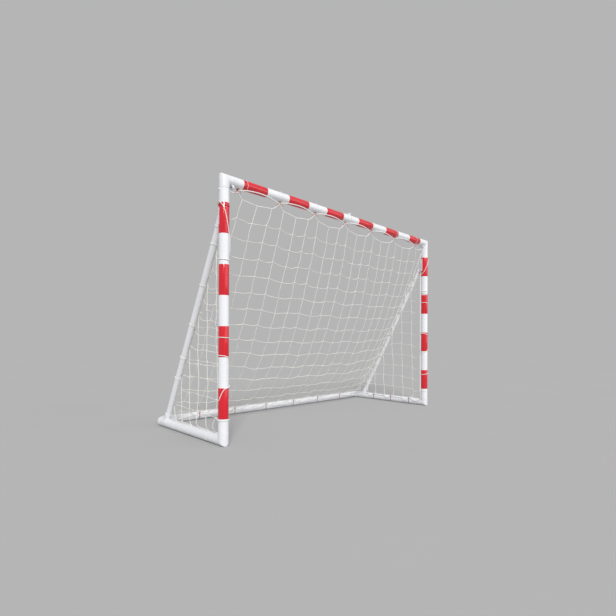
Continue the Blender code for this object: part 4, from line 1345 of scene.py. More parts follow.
class Net:
    """A knotted net, let hang by its own weight between the points that hold it.

    It is laid out and let hang in the same way as the frame's own net, so both come to rest alike.
    """

    def __init__(self, seed: int) -> None:
        """Start an empty net with its own seeded source of small differences.

        Args:
            seed: seeds the strands' slack.
        """
        self.chance = np.random.default_rng(seed)
        self.places: list[tuple] = []
        self.held: list[bool] = []
        self.strands: list[tuple[int, int]] = []
        self.slack: list[float] = []
        self.trims: list[Trim] = []

    def knot(self, place: np.ndarray, held: bool = False) -> int:
        """Add a knot.

        Args:
            place: where it starts from.
            held: whether it stays there.

        Returns:
            Its number.
        """
        self.places.append(tuple(place))
        self.held.append(held)
        return len(self.places) - 1

    def strand(self, first: int, second: int, slack: float | tuple[float, float],
               trim: Trim = Trim.TWINE) -> None:
        """Add a strand.

        Args:
            first: the knot where it starts.
            second: the knot where it ends.
            slack: its length over its straight distance, or a range to draw that from.
            trim: what it is.
        """
        self.strands.append((first, second))
        self.slack.append(self.chance.uniform(*slack) if isinstance(slack, tuple) else slack)
        self.trims.append(trim)

    def hem(self, first: int, second: int, axis: int, holders: np.ndarray) -> None:
        """Add an outer strand, with two held points where each holder carries it.

        Args:
            first: the knot where it starts.
            second: the knot where it ends.
            axis: the axis that it runs along, 0 for X and 1 for Y.
            holders: the holders' places along that axis.
        """
        start, end = np.array(self.places[first]), np.array(self.places[second])
        before = first
        for spot in holders:
            for shift in (-HOLD_HALF, HOLD_HALF):
                share = (spot + shift - start[axis]) / (end[axis] - start[axis])
                if not 0 < share < 1:
                    continue
                point = self.knot(start + share * (end - start), True)
                self.strand(before, point, HEM_SLACK, Trim.HEM)
                before = point
        self.strand(before, second, HEM_SLACK, Trim.HEM)

    def hang(self) -> tuple[np.ndarray, np.ndarray]:
        """Let the net hang.

        In each step the points fall as they would in free air, and then all are moved at once so
        that stretched twine pulls back to its length. The pulls are linear in the points, so one
        inverse matrix serves every step.

        Returns:
            Where the knots and the strands' middles come to rest.
        """
        knots = len(self.places)
        places = np.array(self.places)
        first, second = np.array(self.strands).T
        middles = knots + np.arange(len(first))
        start = np.concatenate([first, middles])
        end = np.concatenate([middles, second])
        rest = np.linalg.norm(places[second] - places[first], axis=1) / 2 * np.array(self.slack)
        rest = np.concatenate([rest, rest])
        places = np.concatenate([places, (places[first] + places[second]) / 2])
        count = len(places)
        free = np.ones(count, bool)
        free[:knots] = ~np.array(self.held)
        inertia = POINT_MASS / TIME_STEP**2
        matrix = inertia * np.eye(count)
        for one, other, sign in ((start, start, 1), (end, end, 1), (start, end, -1), (end, start, -1)):
            np.add.at(matrix, (one, other), sign * TWINE_STIFFNESS)
        inverse = np.linalg.inv(matrix[np.ix_(free, free)])
        held_pull = matrix[np.ix_(free, ~free)] @ places[~free]
        speed = np.zeros_like(places)
        for _ in range(STEPS):
            before = places
            aim = before + TIME_STEP * speed
            aim[:, 2] -= STEP_FALL
            places = np.where(free[:, None], aim, before)
            for _ in range(PULLS_PER_STEP):
                gap = places[end] - places[start]
                length = np.linalg.norm(gap, axis=1)
                gap *= (np.minimum(1, rest / length) * TWINE_STIFFNESS)[:, None]
                pull = inertia * aim
                for axis in range(3):
                    drawn = np.bincount(end, gap[:, axis], count) - np.bincount(start, gap[:, axis], count)
                    pull[:, axis] += drawn
                places = places.copy()
                places[free] = keep_clear(inverse @ (pull[free] - held_pull))
            speed = (places - before) / TIME_STEP * SPEED_KEPT
        return places[:knots], places[knots:]

    def draw(self, name: str, body: str, reference: np.ndarray, node: str, seed: int, foldable: bool) -> None:
        """Let the net hang and make its meshes: twine with knots, and a cord for each edge.

        Args:
            name: the start of the pieces' names.
            body: the body that the net rides on.
            reference: a direction that no strand runs along.
            node: the frame's node that the net stands for.
            seed: seeds the strands' crimps and the knots' turns.
            foldable: whether each of its pieces is given a mesh of its own.
        """
        knots, middles = self.hang()
        strands = np.array(self.strands)
        trims = np.array([trim.value for trim in self.trims])
        plain = trims == Trim.TWINE.value
        start, end = knots[strands[:, 0]], knots[strands[:, 1]]
        shell = Shell()
        add_strands(shell, start[plain], middles[plain], end[plain], TWINE / 2, reference, seed)
        tied = np.bincount(strands.ravel(), minlength=len(knots)) > 2
        add_knots(shell, knots[tied], KNOT_RADIUS, seed + 1)
        pieces = [dress(shell, f"{name}_mesh", Finish.TWINE, body, node)]
        for trim, (label, radius) in EDGES.items():
            chosen = np.flatnonzero(trims == trim.value)
            breaks = np.flatnonzero(strands[chosen[1:], 0] != strands[chosen[:-1], 1]) + 1
            cord = Shell()
            for run in np.split(chosen, breaks):
                if len(run):
                    pairs = np.stack([start[run], middles[run]], axis=1).reshape(-1, 3)
                    route = np.concatenate([pairs, end[run[-1:]]])
                    sweep(cord, smooth_path(route, steps=3), radius, reference, CORD_SIDES)
            if cord.count:
                pieces.append(dress(cord, f"{name}_{label}", Finish.CORD, body))
        if foldable:
            for piece in pieces:
                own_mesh(piece)


def keep_clear(places: np.ndarray) -> np.ndarray:
    """Lift net points off the floor and push them out of the three base tubes.

    Args:
        places: the points, which are changed.

    Returns:
        The same points.
    """
    places[:, 2] = np.maximum(places[:, 2], NET_FLOOR)
    for axis, centre in ((1, GOAL.back_y), (0, -GOAL.post_x), (0, GOAL.post_x)):
        middle = np.array((centre, GOAL.base_z))
        away = places[:, (axis, 2)] - middle
        distance = np.linalg.norm(away, axis=1, keepdims=True)
        places[:, (axis, 2)] = middle + away * np.maximum(1, (GOAL.tube_radius + NET_CLEARANCE) / distance)
    return places


def add_strands(shell: Shell, starts: np.ndarray, middles: np.ndarray, ends: np.ndarray, radius: float,
                reference: np.ndarray, seed: int) -> None:
    """Add strands, each a soft curve through its middle with a small crimp of its own.

    A strand's curve is the parabola through its start, middle and end. Three sines of random size
    are added to it, which vanish at its ends.

    Args:
        shell: the shell that takes the faces.
        starts: the strands' starts.
        middles: their middles.
        ends: their ends.
        radius: the twine's radius.
        reference: a direction that no strand runs along.
        seed: seeds the crimps.
    """
    chance = np.random.default_rng(seed)
    share = np.linspace(0.0, 1.0, STRAND_POINTS)[None, :, None]
    paths = starts[:, None] * (2 * share - 1) * (share - 1)
    paths = paths + middles[:, None] * 4 * share * (1 - share) + ends[:, None] * share * (2 * share - 1)
    length = np.linalg.norm(ends - starts, axis=1)[:, None, None]
    for waves in (1, 2, 3):
        crimp = chance.normal(0.0, CRIMP / waves, (len(starts), 1, 3)) * length
        paths += crimp * np.sin(waves * math.pi * share)
    sweep(shell, paths, radius, reference, TWINE_SIDES)


NET_MESH = 0.120
NET_FRONT_INSET = 0.026
NET_INSET = 0.0311588
NET_HALF_WIDTH = 1.1968412
NET_TOP_DROP = 0.0587
LAST_MESH_SHARE = 0.35
BACK_CLIP_MESHES = (-7.5, -4.5, -1.5, 1.5, 4.5, 7.5)
SIDE_CLIP_MESHES = (1.2, 3.2, 5.2)
PROFILE_SAMPLES = 2001
BINDING_SAMPLES = 1201
CENTIMETRES = 100
FIRST_CORD_SHIFT = 0.052
LEFT_CROSSINGS = ((1.585, 1.200), (1.210, 1.200), (0.706, 0.700), (0.590, 0.565), (0.290, 0.398),
                  (0.170, 0.170))
RIGHT_CROSSINGS = ((1.566, 1.395), (1.210, 1.220), (1.090, 1.100), (0.750, 0.770), (0.600, 0.560),
                   (0.345, 0.330), (0.150, 0.155))
LEFT_BINDINGS = (1.335, 1.070, 0.800, 0.560, 0.403)
RIGHT_BINDINGS = (1.290, 1.010, 0.760, 0.520, 0.340)


@dataclass
class NetProfile:
    """The back net's height line from under the crossbar down to the back bar, with its sag."""

    top: np.ndarray
    foot: np.ndarray
    sag: float = 0.055

    def at(self, share: np.ndarray) -> np.ndarray:
        """Points at shares of the way down.

        A point is on the straight line, moved square to it by four times the share, the rest of
        the share and the sag multiplied together.

        Args:
            share: shares of the way from the top to the foot.

        Returns:
            A point for each share.
        """
        share = np.atleast_1d(share)[:, None]
        line = self.top + share * (self.foot - self.top)
        return line + 4 * share * (1 - share) * self.sag * self.square()

    def square(self) -> np.ndarray:
        """The direction square to the line, on the side that the net sags to."""
        return np.cross(unit(self.foot - self.top), X)

    def where(self, axis: int, value: float) -> np.ndarray:
        """The point of the line at which a coordinate has a given value.

        Args:
            axis: the coordinate, 1 for Y and 2 for Z.
            value: its value.

        Returns:
            The point.
        """
        shares = np.linspace(0.0, 1.0, PROFILE_SAMPLES)
        line = self.at(shares)[:, axis]
        order = np.argsort(line)
        return self.at(np.interp(value, line[order], shares[order]))[0]


def net_profile() -> NetProfile:
    """The line of the back net's edge between the frame's own ties and hooks."""
    foot = np.array([0.0, GOAL.back_y - NET_INSET, GOAL.base_z + NET_INSET])
    return NetProfile(GOAL.bar_middle() - NET_TOP_DROP * Z, foot)


def back_net(profile: NetProfile, ties: np.ndarray) -> None:
    """Make the panel from the crossbar down to the back bar, held at its ties, clips and edges.

    Args:
        profile: the line of its edge.
        ties: the ties' places along X.
    """
    rows = int(np.linalg.norm(profile.foot - profile.top) / NET_MESH)
    columns = round(2 * NET_HALF_WIDTH / NET_MESH)
    pitch = 2 * NET_HALF_WIDTH / columns
    clips = pitch * np.array(BACK_CLIP_MESHES)
    net = Net(NET_SEED)
    above: list[int] = []
    for row in range(rows + 1):
        holders = {0: ties, rows: clips}.get(row)
        level: list[int] = []
        for column in range(columns + 1):
            across = column * pitch - NET_HALF_WIDTH
            outer = column in (0, columns)
            level.append(net.knot(profile.at(row / rows)[0] + across * X, outer))
            if column and holders is None:
                net.strand(level[-2], level[-1], LEVEL_SLACK)
            elif column:
                net.hem(level[-2], level[-1], 0, holders)
            if row:
                trim = Trim.STRUT_EDGE if outer else Trim.TWINE
                net.strand(above[column], level[column], UPRIGHT_SLACK, trim)
        above = level
    net.draw("back_net", "left_frame", profile.square(), "back_net", BACK_NET_DRAW_SEED, True)


def side_net(side: int, profile: NetProfile) -> None:
    """Make the three-cornered panel between a post, a side bar and the back panel's edge.

    Args:
        side: -1 for the left net, 1 for the right one.
        profile: the line of the back panel's edge.
    """
    front = GOAL.post_y + NET_FRONT_INSET
    clips = front + NET_MESH * np.array(SIDE_CLIP_MESHES)
    net_x = side * (GOAL.post_x - NET_INSET)
    peak = float(profile.where(1, front)[2])
    rows = round((peak - profile.foot[2]) / NET_MESH)
    net = Net(NET_SEED + side)
    above = [net.knot((net_x, front, peak), True)]
    above_edge = above[0]
    for row in range(1, rows + 1):
        height = peak + (profile.foot[2] - peak) * row / rows
        edge_depth = float(profile.where(2, height)[1])
        level: list[int] = []
        for column in range(int((edge_depth - front) / NET_MESH - LAST_MESH_SHARE) + 1):
            level.append(net.knot((net_x, front + column * NET_MESH, height), column == 0))
            upper = above[column] if column < len(above) else above_edge
            net.strand(upper, level[-1], UPRIGHT_SLACK, Trim.TWINE if column else Trim.POST_EDGE)
        edge = net.knot((net_x, edge_depth, height), True)
        net.strand(above_edge, edge, UPRIGHT_SLACK)
        for before, after in zip(level, level[1:] + [edge]):
            if row < rows:
                net.strand(before, after, LEVEL_SLACK)
            else:
                net.hem(before, after, 1, clips)
        above, above_edge = level, edge
    name = SIDE_NAMES[side]
    seed = SIDE_NET_DRAW_SEED + side
    net.draw(f"{name}_side_net", f"{name}_frame", X, f"{name}_side_net", seed, False)


# Cords that bind the net to the tubes


def round_both(normals: np.ndarray, apart: float, hug: float, clearance: float) -> np.ndarray:
    """The tight way of a cord round a bar and round another cord beside it.

    Where the cord's own outward normal leans towards the other cord so far that this one reaches
    further, the point lies on the circle round it, and otherwise on the circle round the bar.

    Args:
        normals: the cord's outward normals as angles from the line that joins the two middles.
        apart: how far the two middles are apart.
        hug: the radius of the way round the bar.
        clearance: the radius of the way round the other cord.

    Returns:
        Pairs along that line and square to it, from the bar's middle.
    """
    ways = np.stack([np.cos(normals), np.sin(normals)], axis=-1)
    beside = clearance * ways + np.array([apart, 0.0])
    further = apart * ways[:, :1] + clearance > hug
    return np.where(further, beside, hug * ways)


@dataclass
class PostLacing:
    """A white cord that laces the net's front edge to a post, in turns that cross the post's front.

    A crossing is given by the turn's heights on the post's outer side and on its inner side. A
    loose turn stands off the post's outer side, and droops as far as a third of that. A turn that
    rises early has that share of its rise behind it where it comes round to the front.
    """

    side: int
    crossings: tuple[tuple[float, float], ...]
    tie_height: float
    loose: dict[int, float] = field(default_factory=dict)
    early: dict[int, float] = field(default_factory=dict)
    early_share: float = 0.1
    radius: float = 0.0026
    stations: tuple[float, ...] = (0.0, 140.0, 200.0, 320.0, 360.0)
    start_rise: float = 0.05
    turn_start: float = 0.010
    turn_end: float = 0.008
    tie_radius: float = 0.0012
    tie_beside: float = 0.0045
    tie_clearance: float = 0.0018
    tie_lean: float = 0.004
    knot_out: float = 0.0055
    knot_radius: float = 0.0048
    second_knot: tuple[float, float, float] = (0.0, 0.002, 0.003)
    tail_bend: float = 0.6
    tail_sag: float = 0.002
    tips: tuple[tuple[float, float, float], ...] = ((0.008, -0.003, -0.013), (0.006, 0.004, 0.012))

    def build(self) -> None:
        """Make the lacing, with a knot at both its ends, and the red tie round the post."""
        name = SIDE_NAMES[self.side]
        offset = np.array([-self.side * NET_INSET, NET_FRONT_INSET])
        apart = float(np.linalg.norm(offset))
        first = np.array([*offset, 0.0]) / apart
        second = np.array([self.side * offset[1], abs(offset[0]), 0.0]) / apart
        middle = np.array([self.side * GOAL.post_x, GOAL.post_y, 0.0])
        hug = GOAL.tube_radius + 2 * GOAL.film + self.radius
        clearance = POST_EDGE_CORD + self.radius + GOAL.film
        normals = np.radians(np.linspace(0.0, 360.0, 13))
        turn_points = round_both(normals, apart, hug, clearance) @ np.stack([first, second])
        outer_share = np.clip(self.side * unit(turn_points)[:, :1], 0.0, 1.0) ** 2
        route = [middle + (apart + clearance) * first + [(0.0, 0.0, self.crossings[0][0] + self.start_rise)]]
        for number, (outer, inner) in enumerate(self.crossings):
            share = self.early.get(number, self.early_share)
            front = (1.0 - share) * outer + share * inner
            levels = [outer + self.turn_start, outer, front, inner, inner - self.turn_end]
            heights = np.interp(normals, np.radians(self.stations), levels)
            bulge = self.loose.get(number, 0.0) * outer_share * (self.side * X - Z / 3)
            route.append(middle + turn_points + heights[:, None] * Z + bulge)
        shell = Shell()
        path = smooth_path(np.concatenate(route), steps=4)
        sweep(shell, path, self.radius, LACING_ACROSS, CORD_SIDES)
        add_knots(shell, path[[0, -1]], END_KNOT_RADIUS, LACING_SEED + self.side)
        dress(shell, f"{name}_post_lacing", Finish.CORD, f"{name}_frame")
        self.red_tie(name, middle + self.tie_height * Z)

    def red_tie(self, name: str, middle: np.ndarray) -> None:
        """Make a thin red elastic round the post and what is behind it, knotted on its outer side.

        Args:
            name: the side's name.
            middle: the post's middle at the tie's height.
        """
        shell = Shell()
        normals = np.radians(np.arange(0.0, 360.0, 10.0))
        way = GOAL.tube_radius + self.tie_clearance
        pairs = round_both(normals, self.tie_beside, way, way)
        ring = middle + pairs @ np.stack([Y, -X]) + self.tie_lean * np.cos(normals)[:, None] * Z
        sweep(shell, ring, self.tie_radius, Z, CORD_SIDES, loop=True)
        knot = middle + self.side * (GOAL.tube_radius + self.knot_out) * X
        knots = np.stack([knot, knot + self.second_knot])
        add_knots(shell, knots, self.knot_radius, POST_TIE_SEED + self.side)
        for tip in self.tips:
            reach = np.array(tip) * (self.side, 1.0, 1.0)
            tail = np.stack([knot, knot + self.tail_bend * reach - self.tail_sag * Z, knot + reach])
            sweep(shell, smooth_path(tail, steps=5), self.tie_radius, TAIL_ACROSS, CORD_SIDES)
        dress(shell, f"{name}_post_tie", Finish.ELASTIC, f"{name}_frame")


@dataclass
class StrutLacing:
    """White cord loops that bind the net's back edge to a strut, in pairs with a knot for each pair."""

    side: int
    heights: tuple[float, ...]
    radius: float = 0.0017
    slack: float = 0.0015
    leans: tuple[float, float] = (0.005, -0.004)

    def build(self, profile: NetProfile) -> None:
        """Make the loops, each square to the strut and round the net's edge where that lies.

        A pair's knot is seeded by its height in whole centimetres.

        Args:
            profile: the line of the net's edge.
        """
        start, end = GOAL.strut_line(self.side)
        slope = unit(end - start)
        edge = profile.at(np.linspace(0.0, 1.0, BINDING_SAMPLES)) + self.side * NET_HALF_WIDTH * X
        normals = np.radians(np.arange(0.0, 360.0, 12.0))
        hug = GOAL.strut_radius + self.radius
        clearance = EDGE_CORD + self.radius + self.slack
        shell = Shell()
        for height in self.heights:
            middle = start + (height - start[2]) / slope[2] * slope
            offset = edge[np.argmin(np.abs((edge - middle) @ slope))] - middle
            offset -= (offset @ slope) * slope
            first = unit(offset)
            second = np.cross(slope, first)
            pairs = round_both(normals, float(np.linalg.norm(offset)), hug, clearance)
            for lean in self.leans:
                ring = middle + pairs @ np.stack([first, second]) + lean * np.sin(normals)[:, None] * slope
                sweep(shell, ring, self.radius, slope, CORD_SIDES, loop=True)
            add_knots(shell, (middle - hug * second)[None], KNOT_RADIUS, int(CENTIMETRES * height))
        name = SIDE_NAMES[self.side]
        dress(shell, f"{name}_strut_lacing", Finish.CORD, f"{name}_frame")


@dataclass
class HeadRope:
    """The white rope along the crossbar, from each tie over the bar's lower front and back under it.

    Its way from one tie to the next is given by shares of that distance, each with an angle from
    straight below the bar towards its front, in degrees, and a distance from the bar's axis.
    """

    radius: float = 0.0038
    way: tuple[tuple[float, float, float], ...] = (
        (0.0, 4.0, 0.0470), (0.10, 18.0, 0.0412), (0.25, 31.0, 0.0388), (0.45, 38.0, 0.0384),
        (0.65, 32.0, 0.0386), (0.85, 12.0, 0.0408))

    def build(self, places: list[float]) -> None:
        """Make the rope's runs on either half of the bar, and the one that crosses the fold.

        Args:
            places: the ties' places along X, from left to right.
        """
        left = [place for place in places if place < 0]
        right = [place for place in places if place > 0]
        dress(self.run(left), "crossbar_left_head_rope", Finish.CORD, "crossbar_left")
        dress(self.run(right), "crossbar_right_head_rope", Finish.CORD, "crossbar_right")
        middle = dress(self.run([left[-1], right[0]]), "crossbar_middle_head_rope", Finish.CORD, "")
        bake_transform(middle)

    def run(self, places: list[float]) -> Shell:
        """One length of rope from the first of some ties to the last.

        Args:
            places: the ties' places along X.

        Returns:
            The rope's faces.
        """
        shares, angles, reaches = np.array(self.way).T
        swing = np.radians(angles)
        below = np.stack([np.zeros_like(swing), -reaches * np.sin(swing), -reaches * np.cos(swing)], axis=-1)
        points = [below + (here + shares * (there - here))[:, None] * X
                  for here, there in zip(places, places[1:])]
        route = np.concatenate([*points, below[:1] + places[-1] * X]) + GOAL.bar_middle()
        shell = Shell()
        sweep(shell, smooth_path(route, steps=8), self.radius, ROPE_ACROSS, ROPE_SIDES)
        return shell


# Sub-assemblies


@dataclass
class SideFrame:
    """One rigid side frame: post, side bar, strut, corners, sockets and clips."""

    side: int

    def __post_init__(self) -> None:
        """Work out the frame's corners."""
        self.name = SIDE_NAMES[self.side]
        self.body = f"{self.name}_frame"
        centre = self.side * GOAL.post_x * X
        self.top = centre + np.array([0.0, GOAL.post_y, GOAL.bar_z])
        self.foot = centre + np.array([0.0, GOAL.post_y, GOAL.base_z])
        self.back = centre + np.array([0.0, GOAL.back_y, GOAL.base_z])
        self.inward = -self.side * X

    def build(self) -> None:
        """Make the frame's tubes, mouldings, pins and clips."""
        reach = GOAL.corner_reach + GOAL.seam
        top = GOAL.bar_z - reach
        bands = [(top - low - GOAL.band_length, top - low) for low in POST_BANDS]
        BandedTube(f"{self.name}_post_tube", self.body, f"{self.name}_post", self.top - reach * Z,
                   self.foot + reach * Z, bands).build()
        BandedTube(f"{self.name}_side_bar_tube", self.body, f"{self.name}_side_bar",
                   self.foot + reach * Y, self.back - reach * Y).build()
        self.corners()
        self.lock_button()
        self.strut()
        for number in (1, 2, 3):
            node = f"{self.name}_side_bar_clip_{number}"
            centre = np.array([self.side * GOAL.post_x, middle_of(node)[1], GOAL.base_z])
            SnapClip(node, self.body, centre, Y, self.inward).build()

    def lock_button(self) -> None:
        """Make the button that locks the top corner's spigot, on the post's outer side."""
        place = self.top - (GOAL.corner_reach + LOCK_BUTTON_DROP) * Z + self.side * GOAL.tube_radius * X
        shell = Shell()
        turn(shell, place, self.side * X, np.array(BUTTON_HEAD), SMALL_SIDES)
        dress(shell, f"{self.name}_post_lock_button", Finish.MOULDING, self.body)

    def corners(self) -> None:
        """Make the three corners and the two outer hinge pins."""
        self.hinged_corner("top", Elbow(f"{self.name}_top_corner", self.body, self.top, -Z, self.inward,
                                        bent=False, two_spigots=False), Y)
        elbow = Elbow(f"{self.name}_foot_corner", self.body, self.foot, Z, Y, bent=False, two_spigots=True)
        dress(elbow.shell(), elbow.name + "_moulding", Finish.MOULDING, self.body, elbow.name)
        self.hinged_corner("back", Elbow(f"{self.name}_back_corner", self.body, self.back, -Y, self.inward,
                                         bent=True, two_spigots=False), -Z)

    def hinged_corner(self, label: str, elbow: Elbow, pin_direction: np.ndarray) -> None:
        """Make a corner with its knuckles and its hinge pin.

        Args:
            label: the corner's label in the pin's name.
            elbow: the corner, whose second arm ends at the hinge.
            pin_direction: the pin's direction, from its head to its rivet end.
        """
        outward = elbow.first_arm
        hinge = elbow.corner + GOAL.corner_reach * self.inward + GOAL.pin_offset * outward
        shell = elbow.shell()
        add_knuckles(shell, hinge, -self.inward, outward, False)
        dress(shell, elbow.name + "_moulding", Finish.MOULDING, self.body, elbow.name)
        hinge_pin(f"{self.name}_{label}_hinge_pin", self.body, hinge, pin_direction)

    def strut(self) -> None:
        """Make the strut and its two sockets.

        The strut's ends are cut square, so each stands back from its socket's floor by the strut's
        radius times its lean.
        """
        start, end = GOAL.strut_line(self.side)
        slope = unit(end - start)
        seat = GOAL.tube_radius + GOAL.film + GOAL.seam
        base_seat = GOAL.tube_radius + GOAL.seam
        top = StrutSocket(f"{self.name}_strut_top_socket", self.body, start, slope, -Z, Y, seat)
        foot = StrutSocket(f"{self.name}_strut_foot_socket", self.body, end, -slope, -Y, Z, base_seat)
        upper = (top.seat + top.wall + GOAL.strut_radius * abs(slope[2])) / slope[1]
        lower = (foot.seat + foot.wall + GOAL.strut_radius * slope[1]) / abs(slope[2])
        BandedTube(f"{self.name}_strut_tube", self.body, f"{self.name}_strut", start + upper * slope,
                   end - lower * slope, [], GOAL.strut_radius, GOAL.strut_wall, STRUT_SIDES).build()
        top.build()
        foot.build()


@dataclass
class FoldingBar:
    """One half of a folding bar: its tube and its two moulded ends."""

    name: str
    side: int
    axis: np.ndarray
    pin_side: np.ndarray
    bands: tuple[float, ...] = ()

    def build(self) -> None:
        """Make the half."""
        outward = self.side * X
        fold = self.axis + GOAL.fold_x * outward
        inset = GOAL.end_collar + GOAL.seam
        bands = [(low - inset, low + GOAL.band_length - inset) for low in self.bands]
        BandedTube(f"{self.name}_bar_tube", self.name, f"{self.name}_tube", self.axis + inset * outward,
                   fold - inset * outward, bands).build()
        outer, inner = Shell(), Shell()
        offset = GOAL.pin_offset * self.pin_side
        add_bar_end(outer, fold + offset, -outward, self.pin_side, True)
        add_bar_end(inner, self.axis - offset, outward, -self.pin_side, self.side > 0)
        dress(outer, f"{self.name}_outer_moulding", Finish.MOULDING, self.name, f"{self.name}_outer_end")
        dress(inner, f"{self.name}_inner_moulding", Finish.MOULDING, self.name, f"{self.name}_inner_end")


def build_bars() -> None:
    """Make the crossbar and the back bar, with their pins and the back bar's clips."""
    bar = GOAL.bar_middle()
    back = np.array([0.0, GOAL.back_y, GOAL.base_z])
    for side, name in SIDE_NAMES.items():
        FoldingBar(f"crossbar_{name}", side, bar, -Z, BAR_BANDS).build()
        FoldingBar(f"back_bar_{name}", side, back, -Y).build()
        for number in (1, 2, 3):
            node = f"back_bar_{name}_clip_{number}"
            centre = np.array([middle_of(node)[0], GOAL.back_y, GOAL.base_z])
            SnapClip(node, f"back_bar_{name}", centre, X, -Y).build()
    hinge_pin("crossbar_middle_hinge_pin", "crossbar_left", bar + GOAL.pin_offset * Z, Y)
    hinge_pin("back_bar_middle_hinge_pin", "back_bar_left", back + GOAL.pin_offset * Y, -Z)


def tie_nodes() -> list[str]:
    """The ties' names, from the goal's left to its right."""
    names = [name for name in frame["nodes"] if "_tie_" in name]
    return sorted(names, key=lambda name: middle_of(name)[0])


def build_ties() -> None:
    """Make the crossed ties."""
    for seed, name in enumerate(tie_nodes()):
        shift = FIRST_CORD_SHIFT if seed == 0 else 0.0
        CrossedTie(name, name.split("_tie_")[0], float(middle_of(name)[0]), seed, shift).build()


def build_nets() -> None:
    """Make the back net and both side nets, and the cords that bind them to the tubes."""
    profile = net_profile()
    ties = np.array([middle_of(name)[0] for name in tie_nodes()])
    back_net(profile, ties)
    for side in SIDE_NAMES:
        side_net(side, profile)
    PostLacing(-1, LEFT_CROSSINGS, tie_height=1.560, early={4: 0.75}).build()
    PostLacing(1, RIGHT_CROSSINGS, tie_height=1.190, loose={3: 0.012, 5: 0.022}).build()
    StrutLacing(-1, LEFT_BINDINGS).build(profile)
    StrutLacing(1, RIGHT_BINDINGS).build(profile)
    HeadRope().build(ties.tolist())


# Surroundings


@dataclass(frozen=True)
class PhotoView:
    """The photograph's own camera, fitted to the edges of the posts, the crossbar and the base.

    The yaw is from +Y towards +X, the place is along X, from the posts along Y, and up.
    """

    yaw: float = 44.79
    pitch: float = 0.18
    roll: float = 0.18
    place: tuple[float, float, float] = (-2.683, -2.333, 0.684)
    focal_pixels: float = 411.8
    width_pixels: float = 616.0
    sensor: float = 36.0
    shift_x: float = -0.0167
    shift_y: float = 0.0515

    def build(self) -> None:
        """Make the camera and look through it."""
        yaw, pitch, roll = (math.radians(angle) for angle in (self.yaw, self.pitch, self.roll))
        ahead = np.array([math.sin(yaw), math.cos(yaw), 0.0])
        right = np.array([math.cos(yaw), -math.sin(yaw), 0.0])
        look = ahead * math.cos(pitch) + Z * math.sin(pitch)
        top = Z * math.cos(pitch) - ahead * math.sin(pitch)
        across = right * math.cos(roll) + top * math.sin(roll)
        rise = top * math.cos(roll) - right * math.sin(roll)
        place = self.place + GOAL.post_y * Y
        data = bpy.data.cameras.new("goal_camera")
        data.sensor_fit = "HORIZONTAL"
        data.sensor_width = self.sensor
        data.lens = self.focal_pixels / self.width_pixels * self.sensor
        data.shift_x = self.shift_x
        data.shift_y = self.shift_y
        camera = bpy.data.objects.new("goal_camera", data)
        bpy.context.scene.collection.objects.link(camera)
        rows = np.vstack([np.stack([across, rise, -look, place], axis=-1), (0.0, 0.0, 0.0, 1.0)])
        camera.matrix_world = Matrix(rows.tolist())
        bpy.context.scene.camera = camera


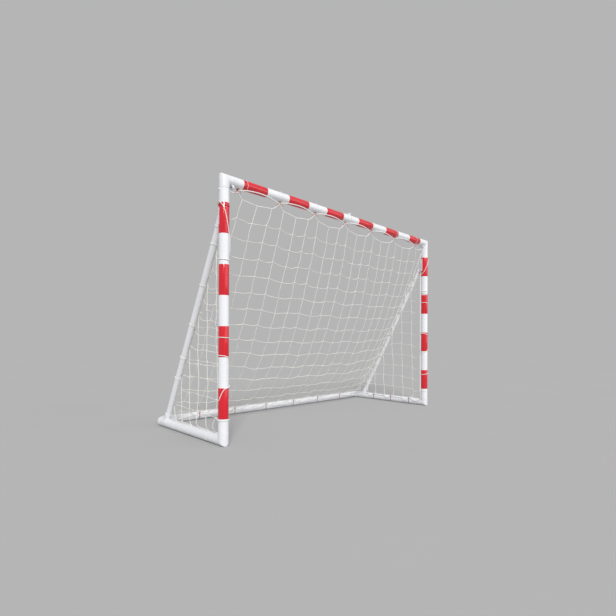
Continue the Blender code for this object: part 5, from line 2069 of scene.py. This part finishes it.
@dataclass(frozen=True)
class Studio:
    """A wide grey floor, a plain world of its own shade, and soft light from the front and above."""

    floor_half: float = 45.0
    floor_grey: float = 0.46
    roughness: float = 0.9
    horizon_grey: float = 0.462
    ambient: float = 0.55

    def build(self) -> None:
        """Make the floor, the world and the lamps."""
        self.floor()
        self.world()
        distant_light("key_light", toward=(-0.50, -0.72, 0.62), strength=2.30, spread=16.0)
        distant_light("fill_light", toward=(0.45, -0.85, 0.10), strength=0.80, spread=60.0)

    def floor(self) -> None:
        """Make the floor, matt and with a very slight mottle."""
        shell = Shell()
        side = np.linspace(-self.floor_half, self.floor_half, 9)
        across, along = np.meshgrid(side, side, indexing="ij")
        shell.grid(np.stack([across, along, np.zeros_like(across)], axis=-1)[:, ::-1])
        floor = shell.make("studio_floor", SHARP_ANGLE)
        material, kit, shader = start_material("studio_floor_grey")
        place = kit.node("ShaderNodeTexCoord").outputs["Object"]
        drift = kit.spread(kit.noise(place, 0.8), 0.3, 0.7)
        grey = self.floor_grey
        low = (0.98 * grey, 0.98 * grey, 0.985 * grey, 1)
        kit.fill(shader, base_color=kit.mix(drift, low, (grey, grey, 1.005 * grey, 1)),
                 roughness=self.roughness, specular_ior_level=0.0)
        floor.data.materials.append(material)

    def world(self) -> None:
        """Make the world: an even light, and behind the goal the horizon's own grey."""
        world = bpy.data.worlds.new("studio")
        world.use_nodes = True
        world.node_tree.nodes.clear()
        kit = NodeKit(world.node_tree)
        ray = kit.node("ShaderNodeLightPath").outputs
        mirrored = kit.math("ADD", ray["Is Glossy Ray"], ray["Is Transmission Ray"])
        seen = kit.math("MINIMUM", kit.math("ADD", ray["Is Camera Ray"], mirrored), 1.0)
        grey = self.horizon_grey
        ambient = kit.node("ShaderNodeBackground", color=(1.0, 1.0, 1.0, 1), strength=self.ambient)
        shown = kit.node("ShaderNodeBackground", color=(grey, grey, 1.01 * grey, 1), strength=1.0)
        mixed = kit.node("ShaderNodeMixShader")
        for socket, value in zip(mixed.inputs, (seen, ambient.outputs[0], shown.outputs[0])):
            kit.feed(socket, value)
        kit.node("ShaderNodeOutputWorld", surface=mixed.outputs[0])
        bpy.context.scene.world = world


def distant_light(name: str, toward: tuple[float, float, float], strength: float, spread: float) -> None:
    """Add a lamp without a place, like a far window.

    Args:
        name: the lamp's name.
        toward: the direction from the goal to the lamp.
        strength: its power in watts per square metre.
        spread: how wide it looks from the goal, in degrees.
    """
    data = bpy.data.lights.new(name, "SUN")
    data.energy = strength
    data.angle = math.radians(spread)
    light = bpy.data.objects.new(name, data)
    bpy.context.scene.collection.objects.link(light)
    look = -np.array(toward)
    flat = math.hypot(look[0], look[1])
    light.rotation_euler = (math.atan2(flat, -look[2]), 0.0, math.atan2(look[1], look[0]) - math.pi / 2)


def main() -> None:
    """Build every sub-assembly in order."""
    logging.basicConfig(level=logging.INFO, format="%(name)s: %(message)s")
    bpy.context.scene.view_settings.view_transform = "Standard"
    build_materials()
    PhotoView().build()
    for side in SIDE_NAMES:
        SideFrame(side).build()
    build_bars()
    build_ties()
    build_nets()
    Studio().build()


if __name__ == "__main__":
    main()
